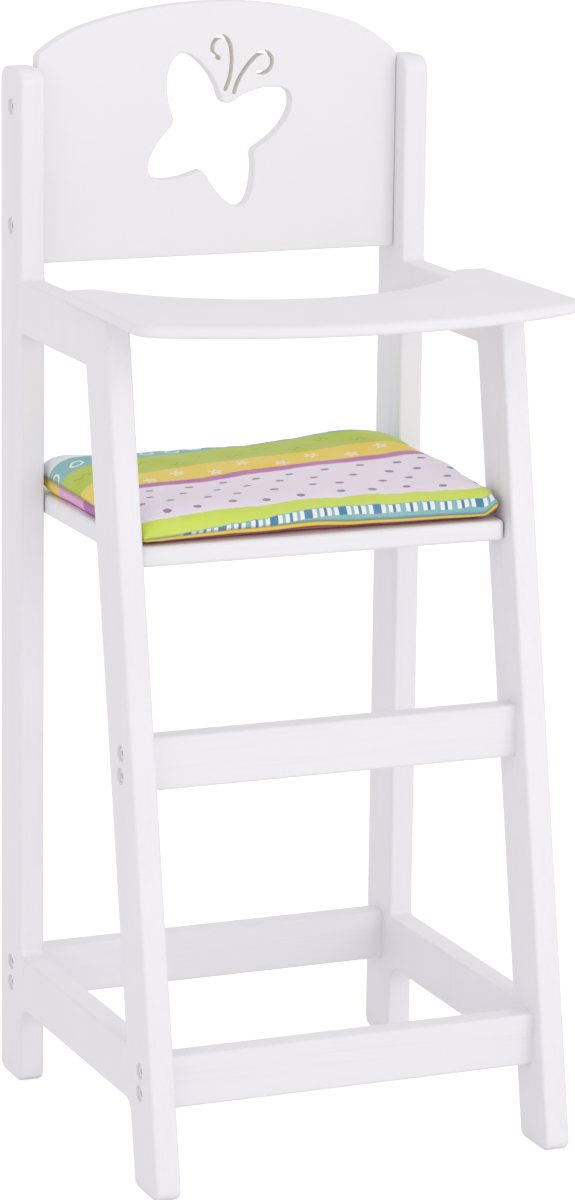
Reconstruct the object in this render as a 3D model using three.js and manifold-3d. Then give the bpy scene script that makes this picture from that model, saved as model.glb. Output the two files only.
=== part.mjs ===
// A doll's wooden high chair: two side frames, a back panel with a butterfly cut-out,
// a curved tray, a seat board, three cross rails, screws, dowels and a loose cushion.
// Millimetres. +Z is up, the front faces -Y and +X is the viewer's right.
// The origin is on the floor, in the middle of the chair's width and of its depth.

import * as THREE from 'three';
import { mergeVertices } from 'three/addons/utils/BufferGeometryUtils.js';
import Module from 'manifold-3d';

const wasm = await Module();
wasm.setup();

// Whole chair
const CHAIR_HEIGHT = 554; // from the floor to the top of the back panel
const FRAME_WIDTH = 221; // over the outer faces of the two side frames
const TRAY_REACH = 235; // from the rear faces of the posts to the front of the tray

// Side frames, each one board
const BOARD = 13;
const POST_DEPTH = 30;
const POST_DROP = 30; // from the top of the back panel to the top of the posts
const POST_TOP_RADIUS = 8;
const LEG_WIDTH = 30;
const FOOT_REACH = 225; // from the rear faces of the posts to the legs' front edges, on the floor
const ARM_END_REACH = 148; // the same, at the top of the arms
const ARM_TOP = 419;
const ARM_HEIGHT = 27;
const SIDE_RAIL_HEIGHT = 27.7;
const FOOT_RADIUS = 4.5;
const WINDOW_RADIUS = 3; // in the corners of a side frame's opening
const LEG_ARCH_RADIUS = 7; // where the underside of a side rail meets the leg
const POST_ARCH_RADIUS = 11; // where it meets the post
const ARM_CORNER_RADIUS = 3; // where an arm meets its post and where it ends
const EASED_EDGE = 1.5; // on the edges of every board

// Cross rails
const RAIL_THICKNESS = 12;
const RAIL_HEIGHT = 26.5;
const LOW_RAIL_BOTTOM = 40.3; // of the side rails and of the front rail
const REAR_RAIL_BOTTOM = 42;
const FOOTREST_BOTTOM = 192.2;

// Back panel
const PANEL_THICKNESS = 8;
const PANEL_HEIGHT = 128.5;
const PANEL_PLAY = 0.3; // between the panel and each post
const ARCH_ACROSS = -2.2; // from the chair's middle to the top of the arch
const ARCH_RADIUS = 245;
const ARCH_CROWN_WIDTH = 136; // the part of the top edge that the large arc covers
const SHOULDER_RADIUS = 73;
const PANEL_CORNER_RADIUS = 5; // between a shoulder and the side below it

// Butterfly cut-out in the back panel
const BUTTERFLY_SPAN = 72;
const BUTTERFLY_HEIGHT = 72;
const BUTTERFLY_ACROSS = -2.8; // from the chair's middle
const BUTTERFLY_DROP = 68.4; // from the top of the panel
const BUTTERFLY_TILT = THREE.MathUtils.degToRad(20);
const ANTENNA_WIDTH = 2.2;

// Half of the butterfly's outline, from the head between the upper wings to the notch between
// the lower ones, as cubic curves: two guide points and an end point, each across and along the
// body, as shares of half the span and half the height.
const BUTTERFLY_START_SHARES = [0, 0.5];
const BUTTERFLY_CURVE_SHARES = [
  [0.05, 0.5, 0.085, 0.535, 0.12, 0.585],
  [0.26, 0.78, 0.5, 0.93, 0.74, 0.97],
  [0.89, 0.99, 0.975, 0.88, 0.972, 0.68],
  [0.962, 0.44, 0.8, 0.21, 0.675, 0.06],
  [0.645, 0.025, 0.645, -0.02, 0.667, -0.07],
  [0.76, -0.25, 0.8, -0.42, 0.81, -0.58],
  [0.818, -0.73, 0.75, -0.825, 0.63, -0.82],
  [0.44, -0.795, 0.25, -0.69, 0.08, -0.545],
  [0.045, -0.515, 0.02, -0.5, 0, -0.5],
];

// The middle line of one antenna, a slot right through the panel, from the head to the tip of
// its curl, in the same shares
const ANTENNA_SHARES = [
  [0.07, 0.683],
  [0.067, 0.833],
  [0.1, 1.014],
  [0.161, 1.18],
  [0.242, 1.311],
  [0.347, 1.361],
  [0.444, 1.306],
  [0.472, 1.194],
  [0.42, 1.095],
  [0.32, 1.06],
];

// Tray
const TRAY_THICKNESS = 6;
const TRAY_WIDTH = 231; // over the front tips
const TRAY_REAR_WIDTH = 227; // over the rear ends of the ears
const TRAY_FRONT_RADIUS = 245;
const TRAY_TIP_RADIUS = 17;
const EAR_REACH = 97; // from the rear faces of the posts to the ears' rear edges
const EAR_WIDTH = 17; // from an ear's outer end to where the curved rear edge starts
const TRAY_CUT_REACH = 156; // from the rear faces of the posts to the middle of the curved rear edge
const TRAY_EDGE = 2;

// Seat board
const SEAT_THICKNESS = 10;
const SEAT_BOTTOM = 299;
const SEAT_WIDTH = 194;
const SEAT_FRONT_REACH = 162;
const SEAT_REAR_REACH = 5;
const SEAT_CORNER_RADIUS = 4;
const SEAT_EDGE = 2;

// Cushion
const CUSHION_WIDTH = 193;
const CUSHION_DEPTH = 145;
const CUSHION_REAR_REACH = 16; // from the rear faces of the posts to the cushion's rear corners
const CUSHION_REAR_CROWN = 25; // the filling has slid back, so the cushion is a wedge
const CUSHION_FRONT_CROWN = 18;
const CUSHION_REAR_SEAM = 8; // how high the seam runs above the seat
const CUSHION_FRONT_SEAM = 5;
const CUSHION_DRAW_IN = 3; // how far the front and the rear pull in between their corners
const SIDE_FULLNESS = 12; // an even power: the larger, the steeper the cushion's sides
const END_FULLNESS = 6; // the same for its front and its rear
const EDGE_ROUNDNESS = 0.45; // the smaller, the tighter the curve into each side

// Screws
const SCREW_DIAMETER = 3.6;
const SCREW_LENGTH = 35; // under the head
const SCREW_TIP = 5;
const HEAD_DIAMETER = 7;
const HEAD_HEIGHT = 2.4;
const SOCKET_WIDTH = 3; // across the flats
const SOCKET_DEPTH = 1.4;
const RECESS_DIAMETER = 8;
const RECESS_DEPTH = 4;
const RAIL_SCREW_SPACING = 11.3;
const PANEL_SCREW_SPACING = 59.6;
const PANEL_SCREW_DROP = 79.5; // from the top of the back panel to the middle of its two screws

// Dowels
const DOWEL_DIAMETER = 6;
const DOWEL_CHAMFER = 0.8;
const DOWEL_IN_TRAY = 3.8;
const DOWEL_IN_ARM = 14;
const DOWEL_IN_SEAT = 20;
const DOWEL_IN_FRAME = 8;
const REAR_TRAY_DOWEL_INSET = 11; // from the ear's rear edge
const FRONT_TRAY_DOWEL_INSET = 13; // from the front end of the arm

// Clearances
const GAP = 0.3; // between pieces that touch or fit in each other
const OVERRUN = 1; // how far a cutter runs past the face that it cuts

// Facets
const ARC_STEPS = 2;
const CURVE_STEPS = 5;
const ROUND_SIDES = 12;
const ANTENNA_STEPS = 20;
const ANTENNA_TIP_STEPS = 4;
const CUSHION_COLUMNS = 26;
const CUSHION_ROWS = 18;

// Places worked out from the sizes above
const REAR_Y = TRAY_REACH / 2;
const POST_HEIGHT = CHAIR_HEIGHT - POST_DROP;
const PANEL_BOTTOM = CHAIR_HEIGHT - PANEL_HEIGHT;
const PANEL_SCREW_MIDDLE = CHAIR_HEIGHT - PANEL_SCREW_DROP;
const FRAME_INNER_X = FRAME_WIDTH / 2 - BOARD;
const LEG_RAKE = (FOOT_REACH - ARM_END_REACH) / ARM_TOP;
const LEG_DEPTH = LEG_WIDTH * Math.hypot(1, LEG_RAKE); // the leg's width measured level
const SEAT_TOP = SEAT_BOTTOM + SEAT_THICKNESS;

const yAt = (reach) => REAR_Y - reach;
const legFrontReach = (z) => FOOT_REACH - LEG_RAKE * z;
const legRearReach = (z) => legFrontReach(z) - LEG_DEPTH;
const legMiddleReach = (z) => legFrontReach(z) - LEG_DEPTH / 2;

// Materials
const paint = () => new THREE.MeshStandardMaterial({ color: 0xefedf2, roughness: 0.5, metalness: 0 });
const steel = () => new THREE.MeshStandardMaterial({ color: 0xc4c2c6, roughness: 0.35, metalness: 0.9 });
const beech = () => new THREE.MeshStandardMaterial({ color: 0xd9b98c, roughness: 0.8, metalness: 0 });
const cotton = () => new THREE.MeshStandardMaterial({ color: 0xb9cf3a, roughness: 0.95, metalness: 0 });

// Solid work: geometry to a solid, a solid to geometry, and one geometry cut by others
function toSolid(geometry) {
  const bare = geometry.clone();
  bare.deleteAttribute('normal');
  bare.deleteAttribute('uv');
  const merged = mergeVertices(bare);
  return new wasm.Manifold(
    new wasm.Mesh({
      numProp: 3,
      vertProperties: new Float32Array(merged.attributes.position.array),
      triVerts: new Uint32Array(merged.index.array),
    }),
  );
}

function toGeometry(solid) {
  const mesh = solid.getMesh();
  const geometry = new THREE.BufferGeometry();
  geometry.setAttribute('position', new THREE.BufferAttribute(mesh.vertProperties, 3));
  geometry.setIndex(new THREE.BufferAttribute(mesh.triVerts, 1));
  geometry.computeVertexNormals();
  return geometry;
}

function cut(geometry, cutters) {
  const result = cutters.reduce((solid, cutter) => solid.subtract(toSolid(cutter)), toSolid(geometry));
  return toGeometry(result);
}

// Outlines
function addRoundedLoop(path, corners) {
  corners.forEach(({ x, y, radius }, index) => {
    const corner = new THREE.Vector2(x, y);
    const before = corners[(index + corners.length - 1) % corners.length];
    const after = corners[(index + 1) % corners.length];
    const toBefore = new THREE.Vector2(before.x - x, before.y - y).normalize();
    const toAfter = new THREE.Vector2(after.x - x, after.y - y).normalize();
    const halfAngle = Math.acos(THREE.MathUtils.clamp(toBefore.dot(toAfter), -1, 1)) / 2;
    const reach = radius / Math.tan(halfAngle);
    const middle = toBefore.clone().add(toAfter).normalize();
    const centre = corner.clone().addScaledVector(middle, radius / Math.sin(halfAngle));
    const start = corner.clone().addScaledVector(toBefore, reach);
    const end = corner.clone().addScaledVector(toAfter, reach);
    const clockwise = toBefore.cross(toAfter) > 0;
    if (index === 0) path.moveTo(start.x, start.y);
    path.absarc(
      centre.x,
      centre.y,
      radius,
      Math.atan2(start.y - centre.y, start.x - centre.x),
      Math.atan2(end.y - centre.y, end.x - centre.x),
      clockwise,
    );
  });
  path.closePath();
  return path;
}

function easedBoard(outline, thickness, edge, steps) {
  const geometry = new THREE.ExtrudeGeometry(outline, {
    depth: thickness - 2 * edge,
    bevelEnabled: true,
    bevelThickness: edge,
    bevelSize: edge,
    bevelOffset: -edge,
    bevelSegments: ARC_STEPS,
    curveSegments: steps,
  });
  return geometry.translate(0, 0, edge);
}

// Stands an extrusion on its side: its outline then lies in the Y-Z plane and its depth along +X.
const SIDEWAYS = new THREE.Matrix4().set(0, 0, 1, 0, 1, 0, 0, 0, 0, 1, 0, 0, 0, 0, 0, 1);

// Stands an extrusion up: its outline then lies in the X-Z plane and its depth along -Y.
const UPRIGHT = new THREE.Matrix4().makeRotationX(Math.PI / 2);

function rodAlongX(diameter, length) {
  const geometry = new THREE.CylinderGeometry(diameter / 2, diameter / 2, length, ROUND_SIDES);
  return geometry.rotateZ(Math.PI / 2);
}

function rodAlongZ(diameter, length) {
  const geometry = new THREE.CylinderGeometry(diameter / 2, diameter / 2, length, ROUND_SIDES);
  return geometry.rotateX(Math.PI / 2);
}

// Where the screws go: every cross piece has two at each end, at these reaches and heights.
const railScrewHeights = (bottom) => [
  ['upper', bottom + RAIL_HEIGHT / 2 + RAIL_SCREW_SPACING / 2],
  ['lower', bottom + RAIL_HEIGHT / 2 - RAIL_SCREW_SPACING / 2],
];

const rails = [
  { name: 'footrest_rail', bottom: FOOTREST_BOTTOM, middle: legMiddleReach(FOOTREST_BOTTOM + RAIL_HEIGHT / 2) },
  { name: 'front_lower_rail', bottom: LOW_RAIL_BOTTOM, middle: legMiddleReach(LOW_RAIL_BOTTOM + RAIL_HEIGHT / 2) },
  { name: 'rear_lower_rail', bottom: REAR_RAIL_BOTTOM, middle: POST_DEPTH / 2 },
];

const screwRows = [
  {
    name: 'back_panel',
    reach: POST_DEPTH / 2,
    heights: [
      ['upper', PANEL_SCREW_MIDDLE + PANEL_SCREW_SPACING / 2],
      ['lower', PANEL_SCREW_MIDDLE - PANEL_SCREW_SPACING / 2],
    ],
  },
  ...rails.map(({ name, bottom, middle }) => ({ name, reach: middle, heights: railScrewHeights(bottom) })),
];

// Where the dowels go
const SEAT_DOWEL_Z = SEAT_BOTTOM + SEAT_THICKNESS / 2;
const seatDowels = [
  ['rear', POST_DEPTH / 2],
  ['front', (legRearReach(SEAT_DOWEL_Z) + SEAT_FRONT_REACH) / 2],
];
const trayDowels = [
  ['rear', EAR_REACH + REAR_TRAY_DOWEL_INSET],
  ['front', ARM_END_REACH - FRONT_TRAY_DOWEL_INSET],
];
const TRAY_DOWEL_X = FRAME_WIDTH / 2 - BOARD / 2;

// Side frame: its board lies in the Y-Z plane, from x = 0 to x = BOARD.
function sideFrameOutline() {
  const railTop = LOW_RAIL_BOTTOM + SIDE_RAIL_HEIGHT;
  const armBottom = ARM_TOP - ARM_HEIGHT;
  const corner = (reach, z, radius) => ({ x: yAt(reach), y: z, radius });
  const outline = addRoundedLoop(new THREE.Shape(), [
    corner(0, 0, FOOT_RADIUS),
    corner(0, POST_HEIGHT, POST_TOP_RADIUS),
    corner(POST_DEPTH, POST_HEIGHT, POST_TOP_RADIUS),
    corner(POST_DEPTH, ARM_TOP, ARM_CORNER_RADIUS),
    corner(ARM_END_REACH, ARM_TOP, ARM_CORNER_RADIUS),
    corner(legFrontReach(0), 0, FOOT_RADIUS),
    corner(legRearReach(0), 0, FOOT_RADIUS),
    corner(legRearReach(LOW_RAIL_BOTTOM), LOW_RAIL_BOTTOM, LEG_ARCH_RADIUS),
    corner(POST_DEPTH, LOW_RAIL_BOTTOM, POST_ARCH_RADIUS),
    corner(POST_DEPTH, 0, FOOT_RADIUS),
  ]);
  const window = addRoundedLoop(new THREE.Path(), [
    corner(POST_DEPTH, railTop, WINDOW_RADIUS),
    corner(legRearReach(railTop), railTop, WINDOW_RADIUS),
    corner(legRearReach(armBottom), armBottom, WINDOW_RADIUS),
    corner(POST_DEPTH, armBottom, WINDOW_RADIUS),
  ]);
  outline.holes.push(window);
  return outline;
}

function sideFrame(side) {
  const board = easedBoard(sideFrameOutline(), BOARD, EASED_EDGE, ARC_STEPS).applyMatrix4(SIDEWAYS);
  const outerX = side < 0 ? 0 : BOARD;
  const innerX = BOARD - outerX;
  const screwHoles = screwRows.flatMap(({ reach, heights }) =>
    heights.flatMap(([, z]) => [
      rodAlongX(RECESS_DIAMETER, 2 * RECESS_DEPTH).translate(outerX, yAt(reach), z),
      rodAlongX(SCREW_DIAMETER + 2 * GAP, 2 * (BOARD + OVERRUN)).translate(outerX, yAt(reach), z),
    ]),
  );
  const seatHoles = seatDowels.map(([, reach]) =>
    rodAlongX(DOWEL_DIAMETER + 2 * GAP, 2 * (DOWEL_IN_FRAME + GAP)).translate(innerX, yAt(reach), SEAT_DOWEL_Z),
  );
  const trayHoles = trayDowels.map(([, reach]) =>
    rodAlongZ(DOWEL_DIAMETER + 2 * GAP, 2 * (DOWEL_IN_ARM + GAP)).translate(BOARD / 2, yAt(reach), ARM_TOP),
  );
  return cut(board, [...screwHoles, ...seatHoles, ...trayHoles]);
}

// Cross rail: its middle is at the origin and its ends touch the side frames.
function crossRail() {
  const section = addRoundedLoop(new THREE.Shape(), [
    { x: -RAIL_THICKNESS / 2, y: -RAIL_HEIGHT / 2, radius: EASED_EDGE },
    { x: RAIL_THICKNESS / 2, y: -RAIL_HEIGHT / 2, radius: EASED_EDGE },
    { x: RAIL_THICKNESS / 2, y: RAIL_HEIGHT / 2, radius: EASED_EDGE },
    { x: -RAIL_THICKNESS / 2, y: RAIL_HEIGHT / 2, radius: EASED_EDGE },
  ]);
  const bar = new THREE.ExtrudeGeometry(section, {
    depth: 2 * FRAME_INNER_X,
    bevelEnabled: false,
    curveSegments: ARC_STEPS,
  });
  bar.applyMatrix4(SIDEWAYS).translate(-FRAME_INNER_X, 0, 0);
  const pilots = [-1, 1].flatMap((side) =>
    [-1, 1].map((level) => pilotHole(side, FRAME_INNER_X, 0, (level * RAIL_SCREW_SPACING) / 2)),
  );
  return cut(bar, pilots);
}

// A hole in the end of a cross piece, for the part of a screw that comes out of the side frame
function pilotHole(side, endX, y, z) {
  const depth = SCREW_LENGTH - (BOARD - RECESS_DEPTH) + OVERRUN;
  return rodAlongX(SCREW_DIAMETER + 2 * GAP, 2 * depth).translate(side * endX, y, z);
}

// Back panel, upright, its rear face in the plane y = 0
function panelOutline() {
  const halfWidth = FRAME_INNER_X - PANEL_PLAY;
  const archZ = CHAIR_HEIGHT - ARCH_RADIUS;
  const crownAngle = Math.asin(ARCH_CROWN_WIDTH / 2 / ARCH_RADIUS);
  const shoulderX = (ARCH_RADIUS - SHOULDER_RADIUS) * Math.sin(crownAngle);
  const shoulderZ = archZ + (ARCH_RADIUS - SHOULDER_RADIUS) * Math.cos(crownAngle);
  const up = Math.PI / 2;
  const ends = [1, -1].map((side) => {
    const cornerX = side * (halfWidth - PANEL_CORNER_RADIUS);
    const middleX = ARCH_ACROSS + side * shoulderX;
    const reach = SHOULDER_RADIUS - PANEL_CORNER_RADIUS;
    const angle = Math.asin((side * (cornerX - middleX)) / reach);
    return { cornerX, cornerZ: shoulderZ + reach * Math.cos(angle), middleX, angle };
  });
  const [right, left] = ends;
  const outline = new THREE.Shape();
  outline.moveTo(-halfWidth, PANEL_BOTTOM);
  outline.lineTo(halfWidth, PANEL_BOTTOM);
  outline.absarc(right.cornerX, right.cornerZ, PANEL_CORNER_RADIUS, 0, up - right.angle, false);
  outline.absarc(right.middleX, shoulderZ, SHOULDER_RADIUS, up - right.angle, up - crownAngle, false);
  outline.absarc(ARCH_ACROSS, archZ, ARCH_RADIUS, up - crownAngle, up + crownAngle, false);
  outline.absarc(left.middleX, shoulderZ, SHOULDER_RADIUS, up + crownAngle, up + left.angle, false);
  outline.absarc(left.cornerX, left.cornerZ, PANEL_CORNER_RADIUS, up + left.angle, 2 * up, false);
  outline.closePath();
  outline.holes.push(butterflyOutline());
  return outline;
}

// Turns shares of the butterfly's own axes into a place on the panel.
function onButterfly(acrossShare, alongShare) {
  const across = (acrossShare * BUTTERFLY_SPAN) / 2;
  const along = (alongShare * BUTTERFLY_HEIGHT) / 2;
  return new THREE.Vector2(across, along)
    .rotateAround(new THREE.Vector2(), -BUTTERFLY_TILT)
    .add(new THREE.Vector2(BUTTERFLY_ACROSS, CHAIR_HEIGHT - BUTTERFLY_DROP));
}

function butterflyOutline() {
  const place = (side, across, along) => onButterfly(side * across, along);
  const outline = new THREE.Path();
  const start = place(1, ...BUTTERFLY_START_SHARES);
  outline.moveTo(start.x, start.y);
  const bend = (side, [a, b, c, d, e, f]) => {
    const first = place(side, a, b);
    const second = place(side, c, d);
    const end = place(side, e, f);
    outline.bezierCurveTo(first.x, first.y, second.x, second.y, end.x, end.y);
  };
  BUTTERFLY_CURVE_SHARES.forEach((curve) => bend(1, curve));
  const ends = [BUTTERFLY_START_SHARES, ...BUTTERFLY_CURVE_SHARES.map((curve) => curve.slice(4))];
  const returns = BUTTERFLY_CURVE_SHARES.map(([a, b, c, d], index) => [c, d, a, b, ...ends[index]]);
  returns.reverse().forEach((curve) => bend(-1, curve));
  return outline;
}

function antennaCutter(side) {
  const line = new THREE.SplineCurve(
    ANTENNA_SHARES.map(([across, along]) => onButterfly(side * across, along)),
  );
  const quarterTurn = Math.PI / 2;
  const beside = (share, turn) =>
    line
      .getTangentAt(share)
      .rotateAround(new THREE.Vector2(), turn)
      .multiplyScalar(ANTENNA_WIDTH / 2)
      .add(line.getPointAt(share));
  const rim = [];
  for (let step = 0; step <= ANTENNA_STEPS; step += 1) {
    rim.push(beside(step / ANTENNA_STEPS, -quarterTurn));
  }
  for (let step = 1; step < ANTENNA_TIP_STEPS; step += 1) {
    rim.push(beside(1, (2 * step * quarterTurn) / ANTENNA_TIP_STEPS - quarterTurn));
  }
  for (let step = 0; step <= ANTENNA_STEPS; step += 1) {
    rim.push(beside(1 - step / ANTENNA_STEPS, quarterTurn));
  }
  for (let step = 1; step < ANTENNA_TIP_STEPS; step += 1) {
    rim.push(beside(0, (2 * step * quarterTurn) / ANTENNA_TIP_STEPS + quarterTurn));
  }
  const slot = new THREE.ExtrudeGeometry(new THREE.Shape(rim), {
    depth: PANEL_THICKNESS + 2 * OVERRUN,
    bevelEnabled: false,
  });
  return slot.translate(0, 0, -OVERRUN).applyMatrix4(UPRIGHT);
}

function backPanel() {
  const board = easedBoard(panelOutline(), PANEL_THICKNESS, EASED_EDGE / 2, CURVE_STEPS).applyMatrix4(UPRIGHT);
  const pilots = [-1, 1].flatMap((side) =>
    [-1, 1].map((level) =>
      pilotHole(
        side,
        FRAME_INNER_X - PANEL_PLAY,
        -PANEL_THICKNESS / 2,
        PANEL_SCREW_MIDDLE + (level * PANEL_SCREW_SPACING) / 2,
      ),
    ),
  );
  return cut(board, [antennaCutter(-1), antennaCutter(1), ...pilots]);
}

// Tray, its underside in the plane z = 0
function trayOutline() {
  const halfFront = TRAY_WIDTH / 2;
  const halfRear = TRAY_REAR_WIDTH / 2;
  const cutHalf = halfRear - EAR_WIDTH;
  const cutRise = TRAY_CUT_REACH - EAR_REACH;
  const cutRadius = (cutHalf ** 2 + cutRise ** 2) / (2 * cutRise);
  const cutAngle = Math.asin(cutHalf / cutRadius);
  const arcCentreReach = TRAY_REACH - TRAY_FRONT_RADIUS;
  const tipX = halfFront - TRAY_TIP_RADIUS;
  const tipReach = arcCentreReach + Math.sqrt((TRAY_FRONT_RADIUS - TRAY_TIP_RADIUS) ** 2 - tipX ** 2);
  const frontAngle = Math.atan2(tipX, tipReach - arcCentreReach);
  const down = -Math.PI / 2;
  const outline = new THREE.Shape();
  outline.moveTo(cutHalf, yAt(EAR_REACH));
  outline.absarc(0, yAt(TRAY_CUT_REACH - cutRadius), cutRadius, down + cutAngle, down - cutAngle, true);
  outline.lineTo(-halfRear, yAt(EAR_REACH));
  outline.lineTo(-halfFront, yAt(tipReach));
  outline.absarc(-tipX, yAt(tipReach), TRAY_TIP_RADIUS, Math.PI, down - frontAngle + 2 * Math.PI, false);
  outline.absarc(0, yAt(arcCentreReach), TRAY_FRONT_RADIUS, down - frontAngle, down + frontAngle, false);
  outline.absarc(tipX, yAt(tipReach), TRAY_TIP_RADIUS, down + frontAngle, 0, false);
  outline.lineTo(halfRear, yAt(EAR_REACH));
  outline.closePath();
  return outline;
}

function tray() {
  const board = easedBoard(trayOutline(), TRAY_THICKNESS, TRAY_EDGE, CURVE_STEPS);
  const holes = [-1, 1].flatMap((side) =>
    trayDowels.map(([, reach]) =>
      rodAlongZ(DOWEL_DIAMETER + 2 * GAP, 2 * (DOWEL_IN_TRAY + GAP)).translate(side * TRAY_DOWEL_X, yAt(reach), 0),
    ),
  );
  return cut(board, holes);
}

// Seat board, its underside in the plane z = 0
function seatBoard() {
  const corner = (x, reach) => ({ x, y: yAt(reach), radius: SEAT_CORNER_RADIUS });
  const outline = addRoundedLoop(new THREE.Shape(), [
    corner(-SEAT_WIDTH / 2, SEAT_FRONT_REACH),
    corner(SEAT_WIDTH / 2, SEAT_FRONT_REACH),
    corner(SEAT_WIDTH / 2, SEAT_REAR_REACH),
    corner(-SEAT_WIDTH / 2, SEAT_REAR_REACH),
  ]);
  const board = easedBoard(outline, SEAT_THICKNESS, SEAT_EDGE, ARC_STEPS);
  const holes = [-1, 1].flatMap((side) =>
    seatDowels.map(([, reach]) =>
      rodAlongX(DOWEL_DIAMETER + 2 * GAP, 2 * (DOWEL_IN_SEAT + GAP)).translate(
        (side * SEAT_WIDTH) / 2,
        yAt(reach),
        SEAT_THICKNESS / 2,
      ),
    ),
  );
  return cut(board, holes);
}

// Cushion, standing on the plane z = 0 with its middle at x = y = 0.
// u runs from -1 to 1 across its width, and v from -1 at the front to 1 at the rear.
function cushionPoint(u, v, onTop) {
  const halfDepth = CUSHION_DEPTH / 2 - CUSHION_DRAW_IN * (1 - u * u);
  const level = (front, rear) => THREE.MathUtils.lerp(front, rear, (1 + v) / 2);
  const seam = level(CUSHION_FRONT_SEAM, CUSHION_REAR_SEAM);
  const crown = level(CUSHION_FRONT_CROWN, CUSHION_REAR_CROWN);
  const swell = ((1 - u ** SIDE_FULLNESS) * (1 - v ** END_FULLNESS)) ** EDGE_ROUNDNESS;
  const height = onTop ? seam + (crown - seam) * swell : seam * (1 - swell);
  return [(CUSHION_WIDTH / 2) * u, halfDepth * v, height];
}

function cushion() {
  const spread = (index, count) => Math.sin((index / count - 1 / 2) * Math.PI);
  const positions = [];
  const indices = [];
  [true, false].forEach((onTop) => {
    const first = positions.length / 3;
    for (let row = 0; row <= CUSHION_ROWS; row += 1) {
      for (let column = 0; column <= CUSHION_COLUMNS; column += 1) {
        positions.push(...cushionPoint(spread(column, CUSHION_COLUMNS), spread(row, CUSHION_ROWS), onTop));
      }
    }
    for (let row = 0; row < CUSHION_ROWS; row += 1) {
      for (let column = 0; column < CUSHION_COLUMNS; column += 1) {
        const a = first + row * (CUSHION_COLUMNS + 1) + column;
        const b = a + 1;
        const c = b + CUSHION_COLUMNS + 1;
        const d = c - 1;
        indices.push(...(onTop ? [a, b, c, a, c, d] : [a, c, b, a, d, c]));
      }
    }
  });
  const grid = new THREE.BufferGeometry();
  grid.setAttribute('position', new THREE.Float32BufferAttribute(positions, 3));
  grid.setIndex(indices);
  return toGeometry(toSolid(grid));
}

// Screw along +X, the top of its head at x = 0
function screw() {
  const radius = SCREW_DIAMETER / 2;
  const headRadius = HEAD_DIAMETER / 2;
  const end = HEAD_HEIGHT + SCREW_LENGTH;
  const profile = [
    [0, end],
    [radius / 3, end],
    [radius, end - SCREW_TIP],
    [radius, HEAD_HEIGHT],
    [headRadius, HEAD_HEIGHT],
    [headRadius, HEAD_HEIGHT / 4],
    [headRadius - HEAD_HEIGHT / 4, 0],
    [0, 0],
  ].map(([across, along]) => new THREE.Vector2(across, -along));
  const body = new THREE.LatheGeometry(profile, ROUND_SIDES).rotateZ(Math.PI / 2);
  const socketRadius = SOCKET_WIDTH / Math.sqrt(3);
  const socket = new THREE.CylinderGeometry(socketRadius, socketRadius, 2 * SOCKET_DEPTH, 6).rotateZ(Math.PI / 2);
  return cut(body, [socket]);
}

// Dowel along +Z, from z = 0 to its length
function dowel(length) {
  const radius = DOWEL_DIAMETER / 2;
  const profile = [
    [0, 0],
    [radius - DOWEL_CHAMFER, 0],
    [radius, DOWEL_CHAMFER],
    [radius, length - DOWEL_CHAMFER],
    [radius - DOWEL_CHAMFER, length],
    [0, length],
  ].map(([across, along]) => new THREE.Vector2(across, along));
  return new THREE.LatheGeometry(profile, ROUND_SIDES).rotateX(Math.PI / 2);
}

// Assembly
const chair = new THREE.Group();

function add(name, geometry, material, x, y, z) {
  const mesh = new THREE.Mesh(geometry, material);
  mesh.name = name;
  mesh.position.set(x, y, z);
  chair.add(mesh);
  return mesh;
}

const sides = [
  ['left', -1],
  ['right', 1],
];

sides.forEach(([word, side]) => {
  add(`${word}_side_frame`, sideFrame(side), paint(), side < 0 ? -FRAME_WIDTH / 2 : FRAME_INNER_X, 0, 0);
});

rails.forEach(({ name, bottom, middle }) => {
  add(name, crossRail(), paint(), 0, yAt(middle), bottom + RAIL_HEIGHT / 2);
});

add('back_panel', backPanel(), paint(), 0, yAt((POST_DEPTH - PANEL_THICKNESS) / 2), 0);
add('tray', tray(), paint(), 0, 0, ARM_TOP);
add('seat_board', seatBoard(), paint(), 0, 0, SEAT_BOTTOM);
add('seat_cushion', cushion(), cotton(), 0, yAt(CUSHION_REAR_REACH + CUSHION_DEPTH / 2), SEAT_TOP + GAP);

sides.forEach(([word, side]) => {
  screwRows.forEach(({ name, reach, heights }) => {
    heights.forEach(([level, z]) => {
      const headX = FRAME_WIDTH / 2 - RECESS_DEPTH + HEAD_HEIGHT + GAP;
      const mesh = add(`${word}_${name}_screw_${level}`, screw(), steel(), side * headX, yAt(reach), z);
      mesh.rotation.z = side < 0 ? 0 : Math.PI;
    });
  });
  seatDowels.forEach(([place, reach]) => {
    const length = DOWEL_IN_FRAME + (FRAME_INNER_X - SEAT_WIDTH / 2) + DOWEL_IN_SEAT;
    const startX = side * (SEAT_WIDTH / 2 - DOWEL_IN_SEAT);
    const mesh = add(`${word}_seat_dowel_${place}`, dowel(length), beech(), startX, yAt(reach), SEAT_DOWEL_Z);
    mesh.rotation.y = (side * Math.PI) / 2;
  });
  trayDowels.forEach(([place, reach]) => {
    const length = DOWEL_IN_ARM + DOWEL_IN_TRAY;
    add(`${word}_tray_dowel_${place}`, dowel(length), beech(), side * TRAY_DOWEL_X, yAt(reach), ARM_TOP - DOWEL_IN_ARM);
  });
});

export default chair;
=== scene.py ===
"""The looks of a doll's wooden high chair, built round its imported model.

Sizes and outlines are in millimetres, and become metres when a mesh is made.
+Z is up, the front faces -Y and +X is the viewer's right. A reach is measured
forward from the rear faces of the posts.
"""

import logging
import math
from collections.abc import Callable, Iterable, Sequence
from dataclasses import dataclass, field
from enum import Enum

import bmesh
import bpy
from mathutils import Matrix, Vector
from mathutils.noise import noise


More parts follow.
